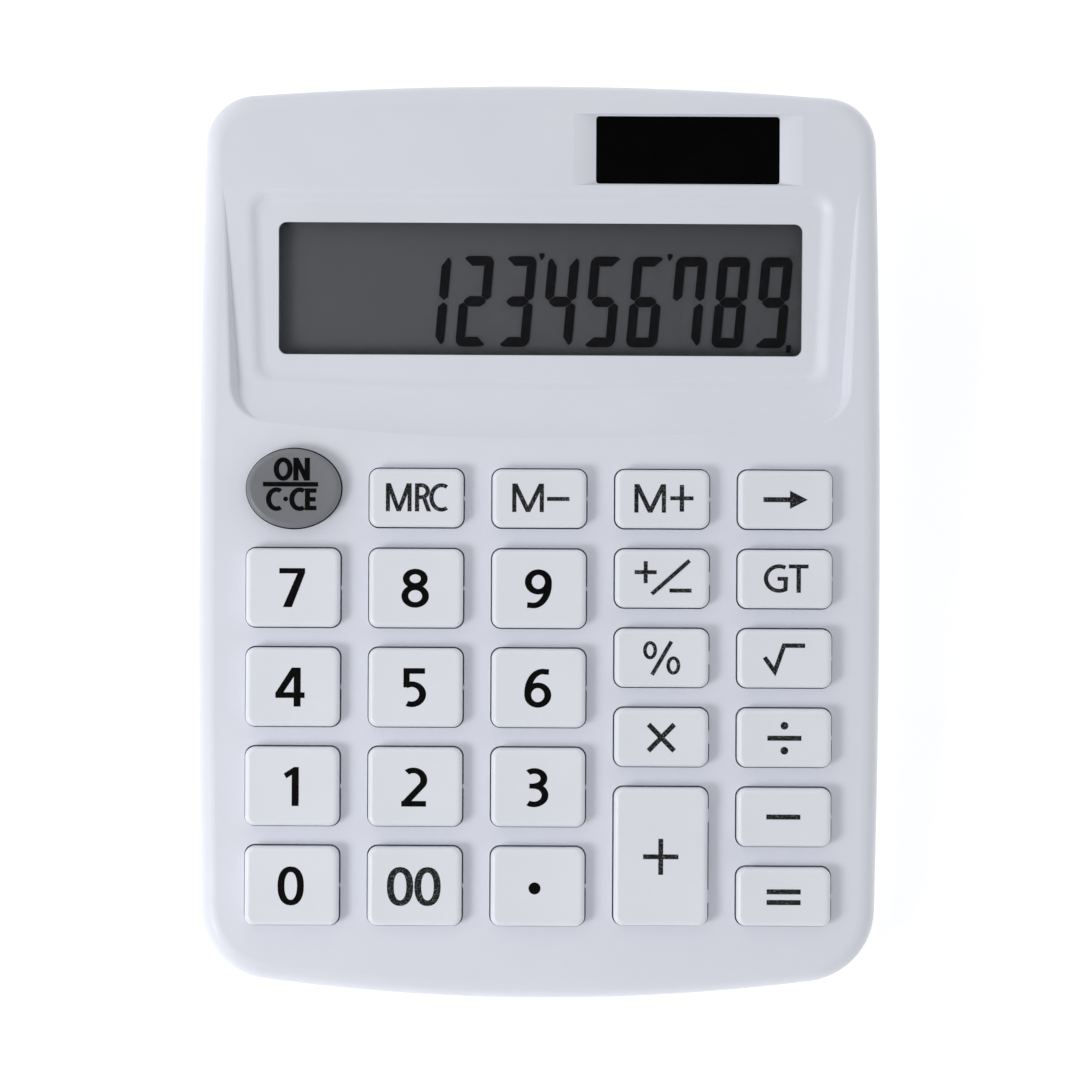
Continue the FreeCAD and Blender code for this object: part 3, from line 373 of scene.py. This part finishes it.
def legend_back_step():
    head = [(0.67, 1.37), (3.33, 0), (0.67, -1.37)]
    return bar(-3.33, -0.37, 1.0, 0.37) + [head]


def legend_sign():
    slash = stroke([(-1.54, -2.31), (4.11, 2.73)], FINE_PEN)
    return plus((-2.47, 0.96), 1.65, 1.65, FINE_PEN) + slash + minus((2.77, -1.78), 1.66, FINE_PEN)


def legend_grand_total():
    letters = in_line((letter_g(LETTER_PEN), 0), (letter_t(LETTER_PEN), 88))
    return centred(letters, LETTER_HEIGHT, (0.15, 0.1))


def legend_percent():
    pen = (0.265, 0.24)
    slash = stroke([(-1.44, -2.5), (1.44, 2.5)], (0.29, 0.29))
    return ring((-1.75, 1.18), (0.78, 1.13), pen) + slash + ring((1.75, -1.1), (0.78, 1.13), pen)


def legend_square_root():
    return stroke([(-3.03, 0.2), (-1.5, -1.95), (-0.12, 1.97), (3.04, 1.97)], (0.33, 0.33))


def legend_multiply():
    x, y = 1.93, 1.98
    return stroke([(-x, -y), (x, y)], SIGN_PEN) + stroke([(-x, y), (x, -y)], SIGN_PEN)


def legend_divide():
    rise = 1.87
    dots = disc((0, rise), 0.58) + disc((0, -rise), 0.58)
    return minus((0, 0), SIGN_REACH) + dots


def legend_plus():
    return plus((0, 0), 2.65, 2.7, (0.36, 0.36))


def legend_minus():
    return minus((-0.1, 0.1), SIGN_REACH)


def legend_equals():
    rise = 0.8
    return minus((0, rise), SIGN_REACH) + minus((0, -rise), SIGN_REACH)


def legend_point():
    return disc((-0.45, -0.2), 0.9)


LEGENDS = {f"key_{c}": figure(c) for c in DIGITS}
LEGENDS.update({
    "key_00": figure("0", "0"),
    "key_point": legend_point(),
    "key_on_clear": legend_on_clear(),
    "key_mrc": legend_mrc(),
    "key_m_minus": legend_m_minus(),
    "key_m_plus": legend_m_plus(),
    "key_back_step": legend_back_step(),
    "key_sign": legend_sign(),
    "key_grand_total": legend_grand_total(),
    "key_percent": legend_percent(),
    "key_square_root": legend_square_root(),
    "key_multiply": legend_multiply(),
    "key_divide": legend_divide(),
    "key_plus": legend_plus(),
    "key_minus": legend_minus(),
    "key_equals": legend_equals(),
})

INK_PROUD = 0.02  # the ink's face above the key's surface
INK_SUNK = 0.06  # its hidden underside below that surface


def print_legend(node, polygons, ink):
    """Lays a key's legend on its dished top as a thin skin of ink that moves with the key."""
    key = NODES[node]
    top = face_frame(node, DECK_AXES)
    outward = top.col[2].to_3d()
    faces = [p.vertices for p in key.data.polygons]
    surface = BVHTree.FromPolygons([v.co for v in key.data.vertices], faces)

    def place(point):
        above = top @ Vector((point.x * MM, point.y * MM, MM))
        touch = surface.ray_cast(above, -outward)[0]
        return touch + outward * INK_PROUD * MM, touch - outward * INK_SUNK * MM

    piece = thin_piece(f"legend_{node}", polygons, place)
    piece.data.materials.append(ink)
    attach(piece, node)


# ---------------------------------------------------------------- the display's segments

FIGURE_PITCH = 6.47
FIGURE_WIDTH = 4.73
FIGURE_HEIGHT = 13.75
FIGURE_LEAN = math.tan(math.radians(5.0))
FIGURE_RIGHT = 37.7  # right side of the last figure, from the window's middle
FIGURE_MIDDLE = -1.88
BAR_THICKNESS = 1.5
STEM_THICKNESS = 1.4
SEGMENT_DEPTH = (0.4, 0.45)  # below the front glass's face
SEVEN = {
    "1": "bc", "2": "abged", "3": "abgcd", "4": "fgbc", "5": "afgcd",
    "6": "afgecd", "7": "fabc", "8": "abcdefg", "9": "abcdfg",
}
SHOWN = "123456789"
MARKED = (2, 5)  # the thousands marks stand after these figures, counted from 0
MARK_SHIFT = (3.68, -0.02)  # a mark's middle, from its figure's top middle
MARK = [(-0.42, 0.25), (-0.3, 0.45), (0.3, 0.45), (0.42, 0.25), (0.36, -0.15), (0.02, -0.62), (-0.1, -0.62)]
POINT_SHIFT = (-0.05, -0.05)  # the decimal point's middle, from the last figure's lower right corner
POINT = [(-0.3, -0.62), (0.38, -0.62), (0.38, 0.5), (-0.3, 0.5)]


def level_segment(y, side):
    """The top (side 1) or bottom (side -1) segment: long outside, short inside, with cut outer corners."""
    inner = BAR_THICKNESS * side
    half = FIGURE_WIDTH / 2
    outside = [(half - 1.15, 0), (half - 0.62, -0.1 * side), (half - 0.3, -0.38 * side)]
    points = [(x, y + dy) for x, dy in outside] + [(half - STEM_THICKNESS - 0.08, y - inner)]
    return points + [(-x, y) for x, y in reversed(points)]


def middle_segment():
    """The middle segment: pointed at both ends."""
    tip = FIGURE_WIDTH / 2 - 0.66
    rise = BAR_THICKNESS / 2 + 0.03
    half = [(tip, 0), (tip - 0.28, rise * 0.5), (tip - 0.85, rise)]
    upper = half + [(-x, y) for x, y in reversed(half)]
    return upper + [(x, -y) for x, y in reversed(upper)][1:-1]


def stem_segment(side, level):
    """One of the four upright segments, on side 1 or -1 of the figure and above or below its middle."""
    outer = FIGURE_WIDTH / 2
    inner = outer - STEM_THICKNESS
    top = FIGURE_HEIGHT / 2
    points = [
        (outer, 0.62), (outer, top - 0.95), (outer - 0.24, top - 0.45), (outer - 0.52, top - 0.3),
        (inner, top - BAR_THICKNESS - 0.05), (inner, 0.86), (outer - 0.62, 0.17),
    ]
    return [(x * side, y * level) for x, y in points]


def segment(letter):
    """A segment by its usual letter, a to g."""
    top = FIGURE_HEIGHT / 2
    shapes = {
        "a": level_segment(top, 1),
        "b": stem_segment(1, 1),
        "c": stem_segment(1, -1),
        "d": level_segment(-top, -1),
        "e": stem_segment(-1, -1),
        "f": stem_segment(-1, 1),
        "g": middle_segment(),
    }
    return shapes[letter]


def lean(polygon, centre):
    """The outline leant to the right and put around a centre."""
    return [(x + y * FIGURE_LEAN + centre[0], y + centre[1]) for x, y in polygon]


def display_outlines():
    """Everything the display shows: nine figures, two thousands marks and a decimal point."""
    last = FIGURE_RIGHT - FIGURE_WIDTH / 2
    top = FIGURE_MIDDLE + FIGURE_HEIGHT / 2
    bottom = FIGURE_MIDDLE - FIGURE_HEIGHT / 2
    outlines = []
    for i, character in enumerate(SHOWN):
        middle = last - (len(SHOWN) - 1 - i) * FIGURE_PITCH
        outlines += [lean(segment(letter), (middle, FIGURE_MIDDLE)) for letter in SEVEN[character]]
        if i in MARKED:
            outlines.append(lean(MARK, (middle + MARK_SHIFT[0], top + MARK_SHIFT[1])))
    outlines.append(lean(POINT, (FIGURE_RIGHT + POINT_SHIFT[0], bottom + POINT_SHIFT[1])))
    return outlines


def build_segments(material):
    """The lit segments, just under the face of the display's front glass."""
    glass = face_frame("lcd_front_glass", axes_of(plate_normal("lcd_front_glass")))

    def place(point):
        return [glass @ Vector((point.x * MM, point.y * MM, -depth * MM)) for depth in SEGMENT_DEPTH]

    piece = thin_piece("display_segments", display_outlines(), place)
    piece.data.materials.append(material)
    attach(piece, "root")


# ---------------------------------------------------------------- materials


def srgb(*levels):
    """A linear colour with full alpha from three levels of 0 to 255."""
    shares = [level / 255 for level in levels]
    return [s / 12.92 if s <= 0.04045 else ((s + 0.055) / 1.055) ** 2.4 for s in shares] + [1.0]


def remapped(tree, value, start, end, low, high):
    """A value stretched from the range start to end into the range low to high, and held inside it."""
    made = tree.nodes.new("ShaderNodeMapRange")
    tree.links.new(value, made.inputs["Value"])
    levels = {"From Min": start, "From Max": end, "To Min": low, "To Max": high}
    for name, level in levels.items():
        made.inputs[name].default_value = level
    return made.outputs["Result"]


def combined(tree, operation, first, second):
    """Two values put through a maths operation. The second may be a plain number."""
    made = tree.nodes.new("ShaderNodeMath")
    made.operation = operation
    tree.links.new(first, made.inputs[0])
    if isinstance(second, bpy.types.NodeSocket):
        tree.links.new(second, made.inputs[1])
    else:
        made.inputs[1].default_value = second
    return made.outputs[0]


class Recipe:
    """One material in the making: a Principled shader and the patterns that drive it."""

    def __init__(self, name):
        self.material = bpy.data.materials.new(name)
        self.material.use_nodes = True
        self.tree = self.material.node_tree
        self.shader = self.tree.nodes["Principled BSDF"]
        self.place = self.tree.nodes.new("ShaderNodeTexCoord").outputs["Object"]
        self.relief = None

    def set(self, **sockets):
        """Constant values on the shader's own sockets, with underscores for spaces."""
        for name, value in sockets.items():
            self.shader.inputs[name.replace("_", " ")].default_value = value
        return self

    def node(self, kind, **inputs):
        """A new node, with each input linked to a socket or set to a value."""
        made = self.tree.nodes.new(kind)
        for name, value in inputs.items():
            socket = made.inputs[name.replace("_", " ")]
            if isinstance(value, bpy.types.NodeSocket):
                self.tree.links.new(value, socket)
            else:
                socket.default_value = value
        return made

    def across(self):
        """The place from side to side."""
        return self.node("ShaderNodeSeparateXYZ", Vector=self.place).outputs["X"]

    def stretched(self, across, along, up):
        """Object coordinates scaled differently along X, Y and Z."""
        return self.node("ShaderNodeMapping", Vector=self.place, Scale=(across, along, up)).outputs["Vector"]

    def noise(self, size, detail=2.0, vector=None):
        """Soft noise with features about size millimetres across."""
        scale = 1 / (size * MM)
        made = self.node("ShaderNodeTexNoise", Vector=vector or self.place, Scale=scale, Detail=detail)
        return made.outputs["Fac"]

    def cells(self, size):
        """Rounded cells about size millimetres across."""
        scale = 1 / (size * MM)
        made = self.node("ShaderNodeTexVoronoi", Vector=self.place, Scale=scale)
        return made.outputs["Distance"]

    def spread(self, value, low, high, start=0.3, end=0.7):
        """A pattern's middle range stretched from low to high."""
        return remapped(self.tree, value, start, end, low, high)

    def colours(self, value, *stops):
        """A colour ramp: each stop is a position and a colour."""
        ramp = self.tree.nodes.new("ShaderNodeValToRGB")
        elements = ramp.color_ramp.elements
        while len(elements) < len(stops):
            elements.new(0.5)
        for element, (position, colour) in zip(elements, stops):
            element.position = position
            element.color = colour
        self.tree.links.new(value, ramp.inputs["Fac"])
        return ramp.outputs["Color"]

    def paint(self, value, *stops):
        """Colours the surface by a pattern."""
        self.tree.links.new(self.colours(value, *stops), self.shader.inputs["Base Color"])
        return self

    def sheen_of(self, value, low, high):
        """Lets a pattern vary the roughness between two values."""
        self.tree.links.new(self.spread(value, low, high), self.shader.inputs["Roughness"])
        return self

    def bump(self, value, depth):
        """Adds relief of this depth in millimetres on top of what is there."""
        made = self.node("ShaderNodeBump", Height=value, Distance=depth * MM, Strength=1.0)
        if self.relief is not None:
            self.tree.links.new(self.relief, made.inputs["Normal"])
        self.relief = made.outputs["Normal"]
        self.tree.links.new(self.relief, self.shader.inputs["Normal"])
        return self


def moulded(name, dark, light, roughness, grain, depth, **constants):
    """Injection-moulded plastic or rubber: faint clouding, a fine tool texture and a slow ripple."""
    recipe = Recipe(name).set(**constants)
    recipe.paint(recipe.noise(14, detail=3), (0.3, dark), (0.7, light))
    recipe.sheen_of(recipe.noise(2.2), roughness - 0.05, roughness + 0.05)
    recipe.bump(recipe.noise(9), depth * 1.5)
    recipe.bump(recipe.noise(grain, detail=3), depth)
    return recipe


def case_plastic():
    return moulded("case_plastic", srgb(229, 232, 242), srgb(232, 234, 244), 0.42, 0.26, 0.007)


def key_plastic():
    dark, light = srgb(234, 236, 245), srgb(237, 239, 247)
    return moulded("key_plastic", dark, light, 0.34, 0.14, 0.0015, Coat_Weight=0.1)


def grey_key_plastic():
    return moulded("grey_key_plastic", srgb(122, 124, 129), srgb(128, 129, 134), 0.34, 0.14, 0.0015)


def inner_plastic():
    return moulded("inner_plastic", srgb(206, 207, 205), srgb(214, 214, 211), 0.5, 0.3, 0.004)


def foot_rubber():
    return moulded("foot_rubber", srgb(46, 47, 50), srgb(58, 59, 61), 0.72, 0.18, 0.01)


def silicone():
    dark, light = srgb(178, 181, 184), srgb(190, 193, 196)
    return moulded("silicone", dark, light, 0.55, 0.25, 0.004, Subsurface_Weight=0.1)


def carbon_rubber():
    return moulded("carbon_rubber", srgb(22, 22, 24), srgb(32, 32, 34), 0.7, 0.1, 0.006)


def black_resin():
    return moulded("black_resin", srgb(16, 16, 18), srgb(26, 26, 27), 0.24, 0.9, 0.02)


def wire_cover():
    return moulded("wire_cover", srgb(150, 24, 22), srgb(176, 34, 30), 0.42, 0.3, 0.005)


def legend_ink():
    """Screen ink: nearly black, with the thin spots and pinholes of a printed film."""
    recipe = Recipe("legend_ink").set(Specular_IOR_Level=0.12)
    film, worn, pinhole = srgb(3, 3, 4), srgb(8, 8, 9), srgb(40, 41, 43)
    recipe.paint(recipe.noise(0.35, detail=4), (0.35, film), (0.66, worn), (0.8, pinhole))
    recipe.sheen_of(recipe.noise(0.5), 0.3, 0.45)
    recipe.bump(recipe.noise(0.12), 0.004)
    return recipe


def worn_ink():
    """The thinner ink of the function legends, which lets the pale plastic through in specks."""
    recipe = Recipe("worn_ink").set(Specular_IOR_Level=0.25)
    film, worn, speck = srgb(14, 14, 15), srgb(30, 31, 32), srgb(112, 114, 118)
    recipe.paint(recipe.noise(0.22, detail=5), (0.42, film), (0.55, worn), (0.66, speck))
    recipe.sheen_of(recipe.noise(0.5), 0.35, 0.5)
    recipe.bump(recipe.noise(0.12), 0.004)
    return recipe


def clear_window():
    """A polished acrylic pane, hard-coated and slightly smoked."""
    recipe = Recipe("clear_window").set(Alpha=0.05, IOR=1.49)
    recipe.paint(recipe.noise(20), (0.3, srgb(30, 31, 34)), (0.7, srgb(40, 41, 44)))
    recipe.sheen_of(recipe.noise(6), 0.03, 0.06)
    return recipe


def lcd_glass(name, alpha):
    """The display's glass: smoky, with painted shading that makes it lighter on the left and darker towards
    the right.
    """
    recipe = Recipe(name).set(Specular_IOR_Level=0.1, Alpha=alpha)
    low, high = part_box("lcd_back_glass")
    # painted shading: this slope across the glass sets a fall from light on the left to dark on the right
    slope = recipe.spread(recipe.across(), 0.0, 1.0, low.x, high.x)
    cloud = recipe.spread(recipe.noise(0.6, detail=5), -0.04, 0.04)
    tone = combined(recipe.tree, "ADD", slope, cloud)
    # painted shading: these three colours run from lighter on the left to darker on the right; only the
    # clouding varies the glass's own tone
    left, middle, right = srgb(104, 106, 111), srgb(97, 98, 103), srgb(88, 90, 93)
    recipe.paint(tone, (0.0, left), (0.5, middle), (1.0, right))
    recipe.sheen_of(recipe.noise(3), 0.5, 0.6)
    return recipe


def lcd_panel():
    return lcd_glass("lcd_panel", 1.0)


def lcd_front():
    return lcd_glass("lcd_front", 0.03)


def lcd_segments():
    """Liquid crystal that has turned dark: black with a faint violet cast."""
    recipe = Recipe("lcd_segments").set(Specular_IOR_Level=0.1)
    recipe.paint(recipe.noise(0.8), (0.3, srgb(9, 9, 11)), (0.7, srgb(14, 14, 17)))
    recipe.sheen_of(recipe.noise(1.5), 0.55, 0.7)
    return recipe


def reflector():
    """Brushed metal foil behind the display."""
    recipe = Recipe("reflector").set(Metallic=0.9)
    brushed = recipe.noise(0.3, detail=4, vector=recipe.stretched(0.04, 1, 1))
    recipe.paint(brushed, (0.3, srgb(170, 174, 172)), (0.7, srgb(196, 199, 196)))
    recipe.sheen_of(brushed, 0.3, 0.45)
    return recipe.bump(brushed, 0.003)


def solar_window():
    """A glossy smoked cover, so dark that the cell under it shows as plain black."""
    recipe = Recipe("solar_window").set(IOR=1.45)
    recipe.paint(recipe.noise(7, detail=3), (0.3, srgb(4, 4, 5)), (0.7, srgb(8, 8, 9)))
    recipe.sheen_of(recipe.noise(4), 0.04, 0.09)
    return recipe.bump(recipe.noise(11), 0.003)


def solar_cell():
    """Amorphous silicon: dark plum with the pale lines between its four cells."""
    recipe = Recipe("solar_cell").set(IOR=1.6)
    low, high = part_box("solar_cell")
    cells = 4.0
    turns = recipe.spread(recipe.across(), 0.0, cells, low.x, high.x)
    share = combined(recipe.tree, "FRACT", turns, 0.0)
    plum, line = srgb(38, 24, 34), srgb(120, 112, 108)
    recipe.paint(share, (0.0, line), (0.03, plum), (0.97, plum), (0.99, line))
    recipe.sheen_of(recipe.noise(1.0), 0.1, 0.2)
    return recipe


def board_laminate():
    """Green solder mask over glass cloth and copper tracks."""
    recipe = Recipe("board_laminate").set(IOR=1.5)
    track_pitch = 3.2 * MM
    flattened = recipe.stretched(1, 1, 0.2)
    blocky = recipe.node("ShaderNodeTexVoronoi", Vector=flattened, Scale=1 / track_pitch)
    blocky.distance = "CHEBYCHEV"
    tracks = blocky.outputs["Distance"]
    green, copper = srgb(24, 84, 46), srgb(52, 118, 62)
    recipe.paint(tracks, (0.30, green), (0.34, copper), (0.42, copper), (0.46, green))
    recipe.sheen_of(recipe.noise(1.5), 0.25, 0.4)
    recipe.bump(recipe.spread(tracks, 0.0, 1.0, 0.30, 0.34), 0.03)
    return recipe.bump(recipe.cells(0.35), 0.006)


def film():
    """Flat ribbon: printed conductors on clear film."""
    recipe = Recipe("film").set(IOR=1.5)
    half_pitch = 0.6 * MM
    wave = combined(recipe.tree, "PINGPONG", recipe.across(), half_pitch)
    level = recipe.spread(wave, 0.0, 1.0, 0.25 * MM, 0.35 * MM)
    recipe.paint(level, (0.4, srgb(190, 176, 132)), (0.6, srgb(46, 46, 50)))
    recipe.sheen_of(recipe.noise(2), 0.25, 0.4)
    return recipe


def bright_metal(name, dark, light, roughness):
    """Plated or rolled metal: fine scratches, and a dulled tone in patches."""
    recipe = Recipe(name).set(Metallic=1.0)
    recipe.paint(recipe.noise(3, detail=4), (0.3, dark), (0.7, light))
    scratches = recipe.noise(0.25, detail=5, vector=recipe.stretched(0.15, 1, 1))
    recipe.sheen_of(scratches, roughness - 0.08, roughness + 0.1)
    return recipe.bump(scratches, 0.003)


def steel():
    return bright_metal("steel", srgb(168, 170, 174), srgb(196, 198, 202), 0.3)


def cell_steel():
    return bright_metal("cell_steel", srgb(196, 197, 200), srgb(216, 217, 219), 0.22)


RECIPES = [
    case_plastic, key_plastic, grey_key_plastic, legend_ink,
    clear_window, lcd_panel, lcd_segments, reflector,
    inner_plastic, solar_window, solar_cell, foot_rubber,
    silicone, carbon_rubber, board_laminate, black_resin,
    film, steel, cell_steel, wire_cover,
]


def finish_frame(materials):
    """Gives every CAD node the material that its record slot names; the display's front pane is clearer."""
    for node in NODES.values():
        for holder in node.material_slots:
            holder.material = materials[holder.material.name]
    NODES["lcd_front_glass"].material_slots[0].material = lcd_front().material


# ---------------------------------------------------------------- floor, light and camera

CAMERA_DISTANCE = 650.0
CAMERA_AIM = (0.12, -0.1)  # on the deck, from its middle
CAMERA_ROLL = math.radians(0.28)
VIEW_WIDTH = 162.65  # what the picture spans on the deck
SENSOR = 36.0
LIGHT_SIDE = (-1.0, -0.5, 1.12)  # where the lamp stands, seen from the deck
LIGHT_DISTANCE = 650.0
LIGHT_SIZE = 220.0
LIGHT_POWER = 1.5  # watts
DOME_STRENGTH = 0.67
DOME_LEAN = (-0.12, 0.3, 0.0)  # how much brighter the dome is on its left and at its back
OPENING_SHARE = 0.03  # how bright the dark opening overhead is, against the dome round it
DARK_CONE = (17.0, 23.0)  # degrees from the deck's normal where the dome turns from dark to bright
BELOW_SHARE = 0.6  # how bright the dome is under the horizon, against above it
HORIZON_BAND = (-0.1, 0.0)  # heights between which that change happens, on a dome of radius 1
FLOOR_HALF = 1500.0
FLOOR_GLOW = 0.455


def add(name, data):
    """A new object in the scene."""
    made = bpy.data.objects.new(name, data)
    bpy.context.scene.collection.objects.link(made)
    return made


def add_camera():
    """Looks straight down on the deck from a fixed distance."""
    data = bpy.data.cameras.new("camera")
    data.sensor_width = SENSOR
    data.lens = SENSOR * CAMERA_DISTANCE / VIEW_WIDTH
    camera = add("camera", data)
    stand = Matrix.Translation((CAMERA_AIM[0] * MM, CAMERA_AIM[1] * MM, CAMERA_DISTANCE * MM))
    camera.matrix_world = DECK @ stand @ Matrix.Rotation(CAMERA_ROLL, 4, "Z")
    bpy.context.scene.camera = camera


def add_lamp():
    """One soft lamp to the left of the front edge."""
    data = bpy.data.lights.new("lamp", "AREA")
    data.size = LIGHT_SIZE * MM
    data.energy = LIGHT_POWER
    lamp = add("lamp", data)
    way = (DECK_AXES @ Vector(LIGHT_SIDE)).normalized()
    lamp.location = DECK.translation + way * LIGHT_DISTANCE * MM
    lamp.rotation_mode = "QUATERNION"
    lamp.rotation_quaternion = way.to_track_quat("Z", "Y")


def add_dome():
    """A white studio dome with a dark opening overhead, so polished faces that look up stay deep."""
    world = bpy.data.worlds.new("dome")
    bpy.context.scene.world = world
    world.use_nodes = True
    tree = world.node_tree
    sky = tree.nodes["Background"]
    way = tree.nodes.new("ShaderNodeTexCoord").outputs["Generated"]

    def along(direction):
        """How far the way to a part of the dome follows this direction."""
        dot = tree.nodes.new("ShaderNodeVectorMath")
        dot.operation = "DOT_PRODUCT"
        dot.inputs[1].default_value = direction
        tree.links.new(way, dot.inputs[0])
        return dot.outputs["Value"]

    leaning = remapped(tree, along(DOME_LEAN), -1, 1, 0, 2 * DOME_STRENGTH)
    inner, outer = (math.cos(math.radians(angle)) for angle in DARK_CONE)
    opening = remapped(tree, along(DECK_AXES.col[2]), outer, inner, 1, OPENING_SHARE)
    upward = remapped(tree, along((0.0, 0.0, 1.0)), *HORIZON_BAND, BELOW_SHARE, 1)
    strength = combined(tree, "MULTIPLY", combined(tree, "MULTIPLY", leaning, opening), upward)
    tree.links.new(strength, sky.inputs["Strength"])
    sky.inputs["Color"].default_value = (1.0, 1.0, 1.0, 1.0)


def add_floor():
    """A pale matt table top that glows a little, as over-lit paper does."""
    half = FLOOR_HALF * MM
    corners = [(-half, -half, 0), (half, -half, 0), (half, half, 0), (-half, half, 0)]
    mesh = bpy.data.meshes.new("floor")
    mesh.from_pydata(corners, [], [(0, 1, 2, 3)])
    floor = add("floor", mesh)
    paper = Recipe("floor_paper").set(Roughness=0.9)
    paper.set(Emission_Color=(1, 1, 1, 1), Emission_Strength=FLOOR_GLOW)
    paper.paint(paper.noise(40), (0.3, srgb(243, 243, 244)), (0.7, srgb(246, 246, 247)))
    floor.data.materials.append(paper.material)


def print_legends(solid):
    """Prints every key's legend: the figures in this solid ink, the functions in a thinner one."""
    worn = worn_ink().material
    solid_print = {f"key_{c}" for c in DIGITS} | {"key_on_clear", "key_point"}
    for node, polygons in LEGENDS.items():
        print_legend(node, polygons, solid if node in solid_print else worn)


bpy.context.scene.view_settings.view_transform = "Standard"
materials = {recipe.__name__: recipe().material for recipe in RECIPES}
finish_frame(materials)
print_legends(materials["legend_ink"])
build_segments(materials["lcd_segments"])
add_camera()
add_lamp()
add_dome()
add_floor()
